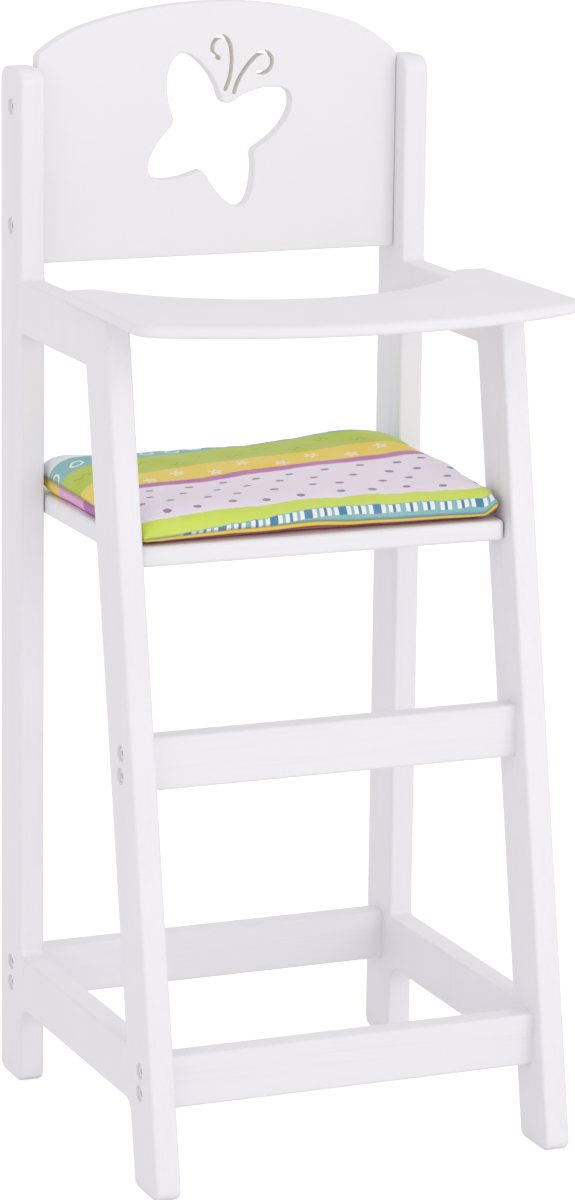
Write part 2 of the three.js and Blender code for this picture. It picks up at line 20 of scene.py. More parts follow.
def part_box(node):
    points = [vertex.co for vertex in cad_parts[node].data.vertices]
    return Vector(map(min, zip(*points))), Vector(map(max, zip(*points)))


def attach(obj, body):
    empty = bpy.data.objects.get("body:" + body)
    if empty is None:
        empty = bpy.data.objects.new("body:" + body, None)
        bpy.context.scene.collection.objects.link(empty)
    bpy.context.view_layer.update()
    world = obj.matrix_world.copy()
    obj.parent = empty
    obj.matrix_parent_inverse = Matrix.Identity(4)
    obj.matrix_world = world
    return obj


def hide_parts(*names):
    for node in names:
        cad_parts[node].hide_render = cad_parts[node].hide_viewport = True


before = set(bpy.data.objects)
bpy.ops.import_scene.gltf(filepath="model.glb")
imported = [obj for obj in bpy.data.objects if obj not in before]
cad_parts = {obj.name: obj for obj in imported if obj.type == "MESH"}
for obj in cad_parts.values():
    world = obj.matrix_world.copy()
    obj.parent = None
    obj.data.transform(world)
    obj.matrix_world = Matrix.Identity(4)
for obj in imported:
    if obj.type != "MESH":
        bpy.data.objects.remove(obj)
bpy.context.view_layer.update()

log = logging.getLogger("high_chair")

MM = 0.001
CHAIR = "chair"
CUSHION = "cushion"
SIDES = {"left": -1, "right": 1}
CROSS_PIECES = ("back_panel", "footrest_rail", "front_lower_rail", "rear_lower_rail")
LEVELS = ("upper", "lower")
DOWEL_PLACES = ("rear", "front")
PAINTED = 0
BARE = 1

# The diameters of the holes, how deep the screws' holes are, and the dowels' play
SCREW_HOLE = 4.2
SCREW_BORE = 27.0
DOWEL_HOLE = 6.6
PLAY = 0.3

# How much cloth one unit of the cushion's UV map stands for, and where the front seam lies in it
CLOTH_UNIT = 300.0
SEAM_V = 0.5

# Faces that meet at this angle or more keep a sharp edge
SHARP_FROM = math.radians(38)

Colour = tuple[float, float, float]
Step = tuple[float, float, float]
Profile = tuple[Step, ...]
Stops = tuple[tuple[float, float], ...]
Socket = bpy.types.NodeSocket
Node = bpy.types.Node
Material = bpy.types.Material
Piece = bpy.types.Object


class Slot(Enum):
    """The record's material slots."""

    PAINT = "white_paint"
    COTTON = "striped_cotton"
    STEEL = "zinc_steel"
    BEECH = "beech"


class Grain(Enum):
    """How much the grain of a board is drawn out along X, Y and Z."""

    ALONG_X = (0.02, 1.0, 1.0)
    ALONG_Z = (1.0, 1.0, 0.02)
    NONE = (1.0, 1.0, 1.0)


@dataclass(frozen=True)
class Box:
    """The corners of a CAD node at rest, in millimetres."""

    low: Vector
    high: Vector

    @classmethod
    def of(cls, node: str) -> "Box":
        """Reads the box of a CAD node."""
        low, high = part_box(node)
        return cls(low / MM, high / MM)

    @property
    def middle(self) -> Vector:
        """The point halfway between the corners."""
        return (self.low + self.high) / 2

    @property
    def size(self) -> Vector:
        """The box's sizes along X, Y and Z."""
        return self.high - self.low


class Graph:
    """Adds nodes to a node tree and links them."""

    def __init__(self, tree: bpy.types.NodeTree) -> None:
        """Starts on a tree."""
        self.tree = tree

    def node(self, kind: str, inputs: dict | None = None, **settings: object) -> Node:
        """Adds one node.

        Args:
            kind: The node's type name in Blender.
            inputs: A value, or a socket to link from, by the name or number of the input.
            settings: The node's own settings.

        Returns:
            The new node.
        """
        made = self.tree.nodes.new(kind)
        for name, value in settings.items():
            setattr(made, name, value)
        for key, value in (inputs or {}).items():
            if isinstance(value, Socket):
                self.tree.links.new(value, made.inputs[key])
            else:
                made.inputs[key].default_value = value
        return made

    def math(self, operation: str, *values: object) -> Socket:
        """Adds a Math node of the tree's own kind and returns its value."""
        return self.node("ShaderNodeMath", dict(enumerate(values)), operation=operation).outputs[0]

    def plus(self, first: object, second: object) -> Socket:
        """Adds two numbers."""
        return self.math("ADD", first, second)

    def minus(self, first: object, second: object) -> Socket:
        """Takes the second number from the first."""
        return self.math("SUBTRACT", first, second)

    def times(self, first: object, second: object) -> Socket:
        """Multiplies two numbers."""
        return self.math("MULTIPLY", first, second)

    def over(self, first: object, second: object) -> Socket:
        """Divides the first number by the second."""
        return self.math("DIVIDE", first, second)

    def less(self, first: object, second: object) -> Socket:
        """Gives 1 where the first number is the smaller one, and 0 elsewhere."""
        return self.math("LESS_THAN", first, second)

    def more(self, first: object, second: object) -> Socket:
        """Gives 1 where the first number is the larger one, and 0 elsewhere."""
        return self.math("GREATER_THAN", first, second)

    def size(self, value: object) -> Socket:
        """A number without its sign."""
        return self.math("ABSOLUTE", value)

    def vector(self, operation: str, *values: object, **inputs: object) -> Node:
        """Adds a Vector Math node."""
        return self.node("ShaderNodeVectorMath", {**dict(enumerate(values)), **inputs}, operation=operation)

    def split(self, vector: object) -> tuple[Socket, ...]:
        """Takes a vector apart into its three numbers."""
        return tuple(self.node("ShaderNodeSeparateXYZ", {0: vector}).outputs)

    def join(self, x: object, y: object, z: object = 0.0) -> Socket:
        """Puts three numbers together into a vector."""
        return self.node("ShaderNodeCombineXYZ", {0: x, 1: y, 2: z}).outputs[0]

    def ramp(self, value: object, low: float, high: float, start: float = 0.0, end: float = 1.0) -> Socket:
        """Maps low..high to start..end, and holds the ends."""
        inputs = {"Value": value, "From Min": low, "From Max": high, "To Min": start, "To Max": end}
        return self.node("ShaderNodeMapRange", inputs, clamp=True).outputs[0]

    def mix(self, share: object, first: object, second: object) -> Socket:
        """Mixes two colours."""
        made = self.node("ShaderNodeMix", {"Factor": share}, data_type="RGBA")
        for socket, value in ((made.inputs[6], first), (made.inputs[7], second)):
            if isinstance(value, Socket):
                self.tree.links.new(value, socket)
            else:
                socket.default_value = (*value, 1.0)
        return made.outputs[2]

    def noise(self, vector: object, scale: float, detail: float = 2.0) -> Socket:
        """Adds a Noise Texture and returns its value."""
        inputs = {"Vector": vector, "Scale": scale, "Detail": detail}
        return self.node("ShaderNodeTexNoise", inputs).outputs[0]

    def place(self) -> Socket:
        """The place on the piece, in metres."""
        return self.node("ShaderNodeTexCoord").outputs["Object"]

    def bump(self, height: Socket, distance: float, strength: float = 1.0, **inputs: object) -> Socket:
        """Turns a height into a normal."""
        inputs = {"Strength": strength, "Distance": distance, "Height": height, **inputs}
        return self.node("ShaderNodeBump", inputs).outputs[0]


class GroupKind(Enum):
    """The two kinds of node tree that the chair uses."""

    SHADER = "ShaderNodeTree"
    GEOMETRY = "GeometryNodeTree"


SOCKETS = {
    "value": "NodeSocketFloat",
    "count": "NodeSocketInt",
    "vector": "NodeSocketVector",
    "geometry": "NodeSocketGeometry",
}


class NodeGroup:
    """A node group with named inputs and outputs."""

    def __init__(self, name: str, kind: GroupKind, inputs: dict[str, str], outputs: dict[str, str]) -> None:
        """Makes an empty group.

        Args:
            name: The group's name.
            kind: Whether it works on shading or on geometry.
            inputs: The kind of each named input, a key of SOCKETS.
            outputs: The same for the outputs.
        """
        self.tree = bpy.data.node_groups.new(name, kind.value)
        self.graph = Graph(self.tree)
        self.identifiers: dict[str, str] = {}
        for socket, word in inputs.items():
            made = self.tree.interface.new_socket(name=socket, in_out="INPUT", socket_type=SOCKETS[word])
            self.identifiers[socket] = made.identifier
        for socket, word in outputs.items():
            self.tree.interface.new_socket(name=socket, in_out="OUTPUT", socket_type=SOCKETS[word])
        self.inputs = self.tree.nodes.new("NodeGroupInput").outputs
        self.outputs = self.tree.nodes.new("NodeGroupOutput").inputs

    def put(self, name: str, value: Socket) -> None:
        """Links a value to a named output."""
        self.tree.links.new(value, self.outputs[name])


def grain_group() -> bpy.types.NodeTree:
    """Builds wood grain: fine lines drawn out along the board, in slow bands.

    Returns:
        A group that takes Vector in metres and Stretch, and gives Height and Band.
    """
    group = NodeGroup("wood_grain", GroupKind.SHADER, {"Vector": "vector", "Stretch": "vector"},
                      {"Height": "value", "Band": "value"})
    graph = group.graph
    place = graph.vector("MULTIPLY", group.inputs["Vector"], group.inputs["Stretch"]).outputs[0]
    lines = graph.noise(place, scale=900.0, detail=3.0)
    bands = graph.noise(place, scale=130.0, detail=2.0)
    group.put("Height", graph.plus(graph.times(lines, 0.6), graph.times(bands, 0.4)))
    group.put("Band", bands)
    return group.tree


def stipple_group() -> bpy.types.NodeTree:
    """Builds the faint orange peel of sprayed paint.

    Returns:
        A group that takes Vector in metres and gives Height and Cloud, a slow unevenness.
    """
    group = NodeGroup("paint_stipple", GroupKind.SHADER, {"Vector": "vector"},
                      {"Height": "value", "Cloud": "value"})
    graph = group.graph
    group.put("Height", graph.noise(group.inputs["Vector"], scale=650.0, detail=1.0))
    group.put("Cloud", graph.noise(group.inputs["Vector"], scale=14.0, detail=2.0))
    return group.tree


def wear_group() -> bpy.types.NodeTree:
    """Builds edge wear: a rounded edge with its paint rubbed thin in places.

    Returns:
        A group that takes Vector in metres, Wear from 0 to 1 and Amount, and gives a Mask.
    """
    group = NodeGroup("edge_wear", GroupKind.SHADER,
                      {"Vector": "vector", "Wear": "value", "Amount": "value"}, {"Mask": "value"})
    graph = group.graph
    patches = graph.ramp(graph.noise(group.inputs["Vector"], scale=90.0, detail=3.0), 0.35, 0.7, 0.3, 1.0)
    rubbed = graph.times(group.inputs["Wear"], patches)
    group.put("Mask", graph.times(rubbed, group.inputs["Amount"]))
    return group.tree


def weave_group() -> bpy.types.NodeTree:
    """Builds a plain weave.

    Returns:
        A group that takes Vector in millimetres of cloth and Threads per millimetre, and gives a Height.
    """
    group = NodeGroup("plain_weave", GroupKind.SHADER, {"Vector": "vector", "Threads": "value"},
                      {"Height": "value"})
    graph = group.graph
    across, along, _ = graph.split(group.inputs["Vector"])
    turns = [graph.times(graph.times(way, group.inputs["Threads"]), math.pi) for way in (across, along)]
    warp, weft = (graph.math("SINE", turn) for turn in turns)
    crossing = graph.times(warp, weft)
    round_threads = graph.math("MAXIMUM", graph.size(warp), graph.size(weft))
    group.put("Height", graph.plus(graph.times(crossing, 0.5), round_threads))
    return group.tree


class Groups:
    """The shader groups that the materials share, each built once."""

    def __init__(self) -> None:
        """Builds the groups."""
        self.grain = grain_group()
        self.stipple = stipple_group()
        self.wear = wear_group()
        self.weave = weave_group()


def new_material(name: str, specular: float, **uniform: float) -> tuple[Material, Graph, Node]:
    """Makes a material with a Principled shader.

    Args:
        name: The material's name.
        specular: The shader's specular level.
        uniform: Inputs that are the same all over, with _ for a space.

    Returns:
        The material, its graph and its shader node.
    """
    material = bpy.data.materials.new(name)
    material.use_nodes = True
    shader = material.node_tree.nodes["Principled BSDF"]
    shader.inputs["Specular IOR Level"].default_value = specular
    for key, value in uniform.items():
        shader.inputs[key.replace("_", " ")].default_value = value
    return material, Graph(material.node_tree), shader


def feed(graph: Graph, shader: Node, **sockets: Socket) -> None:
    """Links values to a shader's inputs, named with _ for a space."""
    for key, value in sockets.items():
        graph.tree.links.new(value, shader.inputs[key.replace("_", " ")])


@dataclass(frozen=True)
class Paint:
    """Satin white paint on a board."""

    name: str
    grain: Grain
    colour: Colour = (0.873, 0.852, 0.893)
    thin: Colour = (0.80, 0.775, 0.775)
    roughness: float = 0.42
    grain_depth: float = 0.09 * MM
    stipple_depth: float = 0.02 * MM
    cloud_shade: float = 0.965
    cloud_share: float = 0.35
    streak_shade: float = 0.93
    streak_share: float = 0.45
    wear_amount: float = 0.5

    def shaded(self, share: float) -> Colour:
        """The paint's colour at a share of its brightness."""
        return tuple(share * part for part in self.colour)

    def material(self, groups: Groups) -> Material:
        """Builds the paint.

        Args:
            groups: The shared shader groups.

        Returns:
            The material.
        """
        material, graph, shader = new_material(self.name, specular=0.42)
        place = graph.place()
        grain = graph.node("ShaderNodeGroup", node_tree=groups.grain)
        grain.inputs["Stretch"].default_value = self.grain.value
        stipple = graph.node("ShaderNodeGroup", node_tree=groups.stipple)
        wear = graph.node("ShaderNodeGroup", {"Amount": self.wear_amount}, node_tree=groups.wear)
        for group in (grain, stipple, wear):
            graph.tree.links.new(place, group.inputs["Vector"])
        edge = graph.node("ShaderNodeAttribute", attribute_name="wear").outputs["Fac"]
        graph.tree.links.new(edge, wear.inputs["Wear"])
        shows = 0.0 if self.grain is Grain.NONE else 1.0
        cloud = graph.ramp(stipple.outputs["Cloud"], 0.3, 0.7, 0.0, self.cloud_share)
        tone = graph.mix(cloud, self.colour, self.shaded(self.cloud_shade))
        streak = graph.ramp(grain.outputs["Height"], 0.5, 0.72, 0.0, self.streak_share * shows)
        tone = graph.mix(streak, tone, self.shaded(self.streak_shade))
        tone = graph.mix(wear.outputs["Mask"], tone, self.thin)
        rough = graph.ramp(stipple.outputs["Cloud"], 0.3, 0.7, self.roughness - 0.05, self.roughness + 0.06)
        lines = graph.bump(grain.outputs["Height"], self.grain_depth, shows)
        bumps = graph.bump(stipple.outputs["Height"], self.stipple_depth, Normal=lines)
        feed(graph, shader, Base_Color=tone, Roughness=rough, Normal=bumps)
        return material


@dataclass(frozen=True)
class Spotted:
    """A finish of fine pale and dark spots, whose roughness and height follow them."""

    name: str
    pale: Colour
    dark: Colour
    spots_per_metre: float
    detail: float
    pale_until: float
    dark_from: float
    rough: tuple[float, float]
    depth: float
    specular: float
    metallic: float = 0.0

    def material(self) -> Material:
        """Builds the finish and returns the material."""
        material, graph, shader = new_material(self.name, self.specular, Metallic=self.metallic)
        spots = graph.noise(graph.place(), self.spots_per_metre, self.detail)
        tone = graph.mix(graph.ramp(spots, self.pale_until, self.dark_from), self.pale, self.dark)
        rough = graph.ramp(spots, 0.3, 0.7, *self.rough)
        feed(graph, shader, Base_Color=tone, Roughness=rough, Normal=graph.bump(spots, self.depth))
        return material


# The cut fibres of a board under a first thin coat
CUT_FIBRES = Spotted("bare_fibreboard", pale=(0.94, 0.92, 0.89), dark=(0.88, 0.85, 0.81),
                     spots_per_metre=1500.0, detail=4.0, pale_until=0.35, dark_from=0.7,
                     rough=(0.75, 0.95), depth=0.1 * MM, specular=0.2)
# Bright zinc plating on a screw
ZINC = Spotted("zinc_plating", pale=(0.96, 0.95, 0.97), dark=(0.88, 0.87, 0.90),
               spots_per_metre=1200.0, detail=3.0, pale_until=0.4, dark_from=0.65,
               rough=(0.42, 0.6), depth=0.01 * MM, specular=0.5, metallic=1.0)


@dataclass(frozen=True)
class Beech:
    """Bare beech with its short dark flecks."""

    name: str = "bare_beech"
    pale: Colour = (0.69, 0.50, 0.30)
    dark: Colour = (0.50, 0.32, 0.17)
    stretch: tuple[float, float, float] = (0.3, 1.0, 0.3)
    depth: float = 0.05 * MM

    def material(self, groups: Groups) -> Material:
        """Builds the wood.

        Args:
            groups: The shared shader groups.

        Returns:
            The material.
        """
        material, graph, shader = new_material(self.name, specular=0.3)
        grain = graph.node("ShaderNodeGroup", {"Vector": graph.place(), "Stretch": self.stretch},
                           node_tree=groups.grain)
        tone = graph.mix(graph.ramp(grain.outputs["Height"], 0.35, 0.65), self.pale, self.dark)
        rough = graph.ramp(grain.outputs["Band"], 0.3, 0.7, 0.6, 0.8)
        bump = graph.bump(grain.outputs["Height"], self.depth)
        feed(graph, shader, Base_Color=tone, Roughness=rough, Normal=bump)
        return material


def link(name: str, data: bpy.types.ID) -> Piece:
    """Puts a new object with its data into the scene."""
    made = bpy.data.objects.new(name, data)
    bpy.context.scene.collection.objects.link(made)
    return made


def to_object(name: str, mesh: bmesh.types.BMesh) -> Piece:
    """Puts a bmesh into the scene as a new object, and frees it."""
    data = bpy.data.meshes.new(name)
    mesh.to_mesh(data)
    mesh.free()
    return link(name, data)


def unit_axis(along: int) -> Vector:
    """The unit vector along X, Y or Z, which are 0, 1 and 2."""
    return Vector([float(index == along) for index in range(3)])


def oriented(points: Sequence[Vector], clockwise: bool) -> tuple[Vector, ...]:
    """Turns an outline to run the asked way round."""
    area = sum(a.cross(b) for a, b in zip(points, [*points[1:], points[0]]))
    return tuple(points if (area < 0) == clockwise else reversed(points))


def in_turn(items: Sequence) -> Iterable[tuple]:
    """Every item of a closed ring, between the one before it and the one after it."""
    return zip([items[-1], *items[:-1]], items, [*items[1:], items[0]])


def arc(centre: Vector, radius: float, start: float, end: float, steps: int) -> list[Vector]:
    """Points along an arc.

    Args:
        centre: The arc's centre.
        radius: Its radius.
        start: The angle of its first point, in radians.
        end: The angle of its last point.
        steps: How many steps it has.

    Returns:
        The points, both ends among them.
    """
    angles = [start + (end - start) * step / steps for step in range(steps + 1)]
    return [centre + radius * Vector((math.cos(angle), math.sin(angle))) for angle in angles]


def rounded(corners: Sequence[tuple[float, float, float]], steps: int = 8) -> list[Vector]:
    """Draws a closed outline from corners, each with its own radius.

    Args:
        corners: Each corner's place and radius.
        steps: How many steps each corner's arc has.

    Returns:
        The outline's points.
    """
    points: list[Vector] = []
    for previous, (x, y, radius), following in in_turn(corners):
        corner = Vector((x, y))
        before = (Vector(previous[:2]) - corner).normalized()
        after = (Vector(following[:2]) - corner).normalized()
        half = before.angle(after) / 2
        centre = corner + (before + after).normalized() * radius / math.sin(half)
        first = corner + before * radius / math.tan(half) - centre
        last = corner + after * radius / math.tan(half) - centre
        start = math.atan2(first.y, first.x)
        sweep = math.atan2(first.cross(last), first.dot(last))
        points += arc(centre, radius, start, start + sweep, steps)
    return points


def oblong(low: Vector, high: Vector, radius: float, steps: int = 8) -> list[Vector]:
    """A rectangle between two of its corners, with round corners."""
    corners = ((low.x, low.y), (high.x, low.y), (high.x, high.y), (low.x, high.y))
    return rounded([(*corner, radius) for corner in corners], steps)


def circle(centre: Vector, radius: float, sides: int = 32) -> list[Vector]:
    """Points round a full circle."""
    return arc(centre, radius, 0.0, math.tau * (sides - 1) / sides, sides - 1)


def bezier(points: Sequence[Vector], steps: int) -> list[Vector]:
    """Points along a cubic curve, without its first one.

    Args:
        points: The start, two guides and the end.
        steps: How many steps the curve has.

    Returns:
        The points.
    """
    start, first, second, end = points
    found = []
    for step in range(1, steps + 1):
        share = step / steps
        rest = 1 - share
        found.append(start * rest ** 3 + first * 3 * rest ** 2 * share
                     + second * 3 * rest * share ** 2 + end * share ** 3)
    return found


def spline(points: Sequence[Vector], steps: int) -> list[Vector]:
    """A smooth line through points, evenly stepped between each two.

    Args:
        points: The points to pass.
        steps: How many steps lie between two of them.

    Returns:
        The line's points.
    """
    padded = [2 * points[0] - points[1], *points, 2 * points[-1] - points[-2]]
    found = [points[0]]
    for before, start, end, after in zip(padded, padded[1:], padded[2:], padded[3:]):
        found += bezier((start, start + (end - before) / 6, end - (after - start) / 6, end), steps)
    return found


def softened(points: Sequence[Vector], radius: float, steps: int = 6) -> list[Vector]:
    """Rounds the sharp corners of a closed outline.

    Args:
        points: The outline.
        radius: The radius of the new corners.
        steps: How many steps each has.

    Returns:
        The outline with arcs where it was sharp.
    """
    sharp_turn = math.radians(25)
    guide = 0.55
    clear = 1.3 * radius
    turns = [(point - before).angle(after - point) for before, point, after in in_turn(points)]
    corners = [turn if turn > sharp_turn else 0.0 for turn in turns]
    found: list[Vector] = []
    for corner, (before, point, after) in zip(corners, in_turn(points)):
        if corner:
            trim = radius * math.tan(corner / 2)
            first = point - (point - before).normalized() * trim
            last = point + (after - point).normalized() * trim
            curve = (first, first.lerp(point, guide), last.lerp(point, guide), last)
            found += [first, *bezier(curve, steps)]
        elif not any(turn and (other - point).length < clear * math.tan(turn / 2)
                     for other, turn in zip(points, corners)):
            found.append(point)
    return found


def eased(thickness: float, radius: float, steps: int = 5) -> Profile:
    """Profile of a wall from a board's upper face to its lower face, both edges rounded.

    Args:
        thickness: The board's thickness.
        radius: The radius of the two edges.
        steps: How many steps each rounding has.

    Returns:
        The profile's steps.
    """
    turns = [math.pi / 2 * step / steps for step in range(steps + 1)]
    upper = [(radius * (1 - math.sin(turn)), thickness - radius * (1 - math.cos(turn)), math.sin(2 * turn))
             for turn in turns]
    lower = [(inset, thickness - height, wear) for inset, height, wear in reversed(upper)]
    return tuple(upper + lower)


def straight(start: float, end: float) -> Profile:
    """Profile of a straight wall, from one height to another."""
    return (0.0, start, 0.0), (0.0, end, 0.0)


@dataclass(frozen=True)
class Wall:
    """A closed outline of a board, with the profile of the wall along it.

    A step of the profile says how far the wall has stepped into the wood, its height over the
    board's lower face and how worn its paint is. A blind wall ends in a floor of its own.
    """

    outline: tuple[Vector, ...]
    profile: Profile
    finish: int = PAINTED
    blind: bool = False
    corners_wear: bool = False

    def offsets(self) -> list[Vector]:
        """Which way, and how far for each unit of inset, every point of the outline moves."""
        found = []
        for before, point, after in in_turn(self.outline):
            way_in = (point - before).normalized()
            way_out = (after - point).normalized()
            first = Vector((way_in.y, -way_in.x))
            second = Vector((way_out.y, -way_out.x))
            found.append(-(first + second) / (1 + first.dot(second)))
        return found


@dataclass
class Board:
    """A flat piece of wood: an outer wall, holes and pockets, between two faces."""

    name: str
    walls: list[Wall] = field(default_factory=list)

    def outer(self, outline: Sequence[Vector], profile: Profile, corners_wear: bool = False) -> None:
        """Adds the board's outer wall."""
        self.walls.append(Wall(oriented(outline, False), profile, corners_wear=corners_wear))

    def hole(self, outline: Sequence[Vector], profile: Profile, finish: int = PAINTED,
             blind: bool = False) -> None:
        """Adds a hole or, where it is blind, a pocket."""
        self.walls.append(Wall(oriented(outline, True), profile, finish, blind))

    def build(self, place: Callable[[float, float, float], Vector],
              materials: Sequence[Material]) -> Piece:
        """Makes the board's mesh.

        Args:
            place: Turns a place on the board, across, along and over its lower face, into the row frame.
            materials: The finishes that the walls name by number.

        Returns:
            The board as an object at the origin.
        """
        mesh = bmesh.new()
        wear_layer = mesh.verts.layers.float.new("wear")
        rims: dict[float, list[bmesh.types.BMEdge]] = {}
        for wall in self.walls:
            offsets = wall.offsets()
            rings = []
            for inset, height, wear in wall.profile:
                ring = []
                for point, offset in zip(wall.outline, offsets):
                    spot = point + offset * inset
                    vertex = mesh.verts.new((spot.x, spot.y, height))
                    vertex[wear_layer] = wear
                    ring.append(vertex)
                rings.append(ring)
            for upper, lower in zip(rings, rings[1:]):
                for index in range(len(upper)):
                    face = mesh.faces.new((upper[index - 1], upper[index], lower[index], lower[index - 1]))
                    face.material_index = wall.finish
            ends = [(rings[0], wall.profile[0][1])]
            if wall.blind:
                mesh.faces.new(rings[-1])
            else:
                ends.append((rings[-1], wall.profile[-1][1]))
            for ring, height in ends:
                edges = [mesh.edges.get((ring[index - 1], ring[index])) for index in range(len(ring))]
                rims.setdefault(round(height, 6), []).extend(edges)
            if wall.corners_wear:
                mark_corners(wall, rings, wear_layer)
        for edges in rims.values():
            bmesh.ops.triangle_fill(mesh, edges=edges, use_beauty=True, normal=(0, 0, 1))
        for vertex in mesh.verts:
            vertex.co = place(*vertex.co) * MM
        return finish_mesh(self.name, mesh, materials)


def mark_corners(wall: Wall, rings: Sequence[Sequence[bmesh.types.BMVert]],
                 layer: bmesh.types.BMLayerItem) -> None:
    """Marks the tight corners of an outline as edges that wear."""
    for index, (before, point, after) in enumerate(in_turn(wall.outline)):
        way_in = point - before
        way_out = after - point
        bend = way_in.angle(way_out) / max(way_in.length, way_out.length)
        for ring in rings:
            ring[index][layer] = min(1.0, 2 * bend)


def finish_mesh(name: str, mesh: bmesh.types.BMesh, materials: Sequence[Material]) -> Piece:
    """Turns a bmesh into an object with outward faces, smooth over its rounded edges.

    Args:
        name: The object's name.
        mesh: The bmesh, which is freed.
        materials: The object's materials.

    Returns:
        The object.
    """
    bmesh.ops.recalc_face_normals(mesh, faces=mesh.faces)
    piece = to_object(name, mesh)
    for material in materials:
        piece.data.materials.append(material)
    even_normals(piece)
    return piece


def even_normals(piece: Piece) -> None:
    """Shades a piece smooth over its rounded edges and flat on its faces."""
    piece.data.shade_smooth()
    piece.data.set_sharp_from_angle(angle=SHARP_FROM)
    piece.modifiers.new("normals", "WEIGHTED_NORMAL").keep_sharp = True
    settle(piece)


def settle(piece: Piece) -> None:
    """Gives a piece the mesh that its modifiers make, and removes them."""
    graph = bpy.context.evaluated_depsgraph_get()
    mesh = bpy.data.meshes.new_from_object(piece.evaluated_get(graph), preserve_all_data_layers=True,
                                           depsgraph=graph)
    piece.modifiers.clear()
    piece.data = mesh


def drill(piece: Piece, bores: Iterable[Box], diameter: float) -> None:
    """Bores round holes for the dowels or screws that end in a piece's edge.

    Args:
        piece: The piece.
        bores: The box of each hole, whose longest side is its axis.
        diameter: The holes' diameter.
    """
    mesh = bmesh.new()
    for bore in bores:
        size = bore.size
        along = max(range(3), key=lambda axis: size[axis])
        turn = Vector((0, 0, 1)).rotation_difference(unit_axis(along)).to_matrix().to_4x4()
        bmesh.ops.create_cone(mesh, cap_ends=True, segments=24, radius1=diameter / 2 * MM,
                              radius2=diameter / 2 * MM, depth=size[along] * MM,
                              matrix=Matrix.Translation(bore.middle * MM) @ turn)
    cutter = to_object("bores", mesh)
    modifier = piece.modifiers.new("bores", "BOOLEAN")
    modifier.operation = "DIFFERENCE"
    modifier.solver = "EXACT"
    modifier.object = cutter
    settle(piece)
    bpy.data.objects.remove(cutter)
    even_normals(piece)


def dowel_boxes(owner: str, words: Iterable[str] = SIDES) -> list[Box]:
    """The boxes of the dowels that hold the seat or the tray."""
    return [Box.of(f"{word}_{owner}_dowel_{place}") for word in words for place in DOWEL_PLACES]


def drill_dowels(piece: Piece, boxes: Iterable[Box]) -> None:
    """Bores a hole for each dowel, with some play on every side."""
    play = Vector((PLAY, PLAY, PLAY))
    drill(piece, [Box(box.low - play, box.high + play) for box in boxes], DOWEL_HOLE)


def report(piece: Piece, body: str, nodes: Sequence[str]) -> None:
    """Sets a finished piece on its body in place of its CAD nodes.

    Args:
        piece: The piece.
        body: The CAD body that it rides on.
        nodes: The CAD nodes that it stands for.
    """
    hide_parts(*nodes)
    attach(piece, body)
    log.info("%s: %d faces for %s", piece.name, len(piece.data.polygons), ", ".join(nodes))


@dataclass(frozen=True)
class Finishes:
    """The materials of the chair's boards."""

    side: Material
    rail: Material
    smooth: Material
    bare: Material


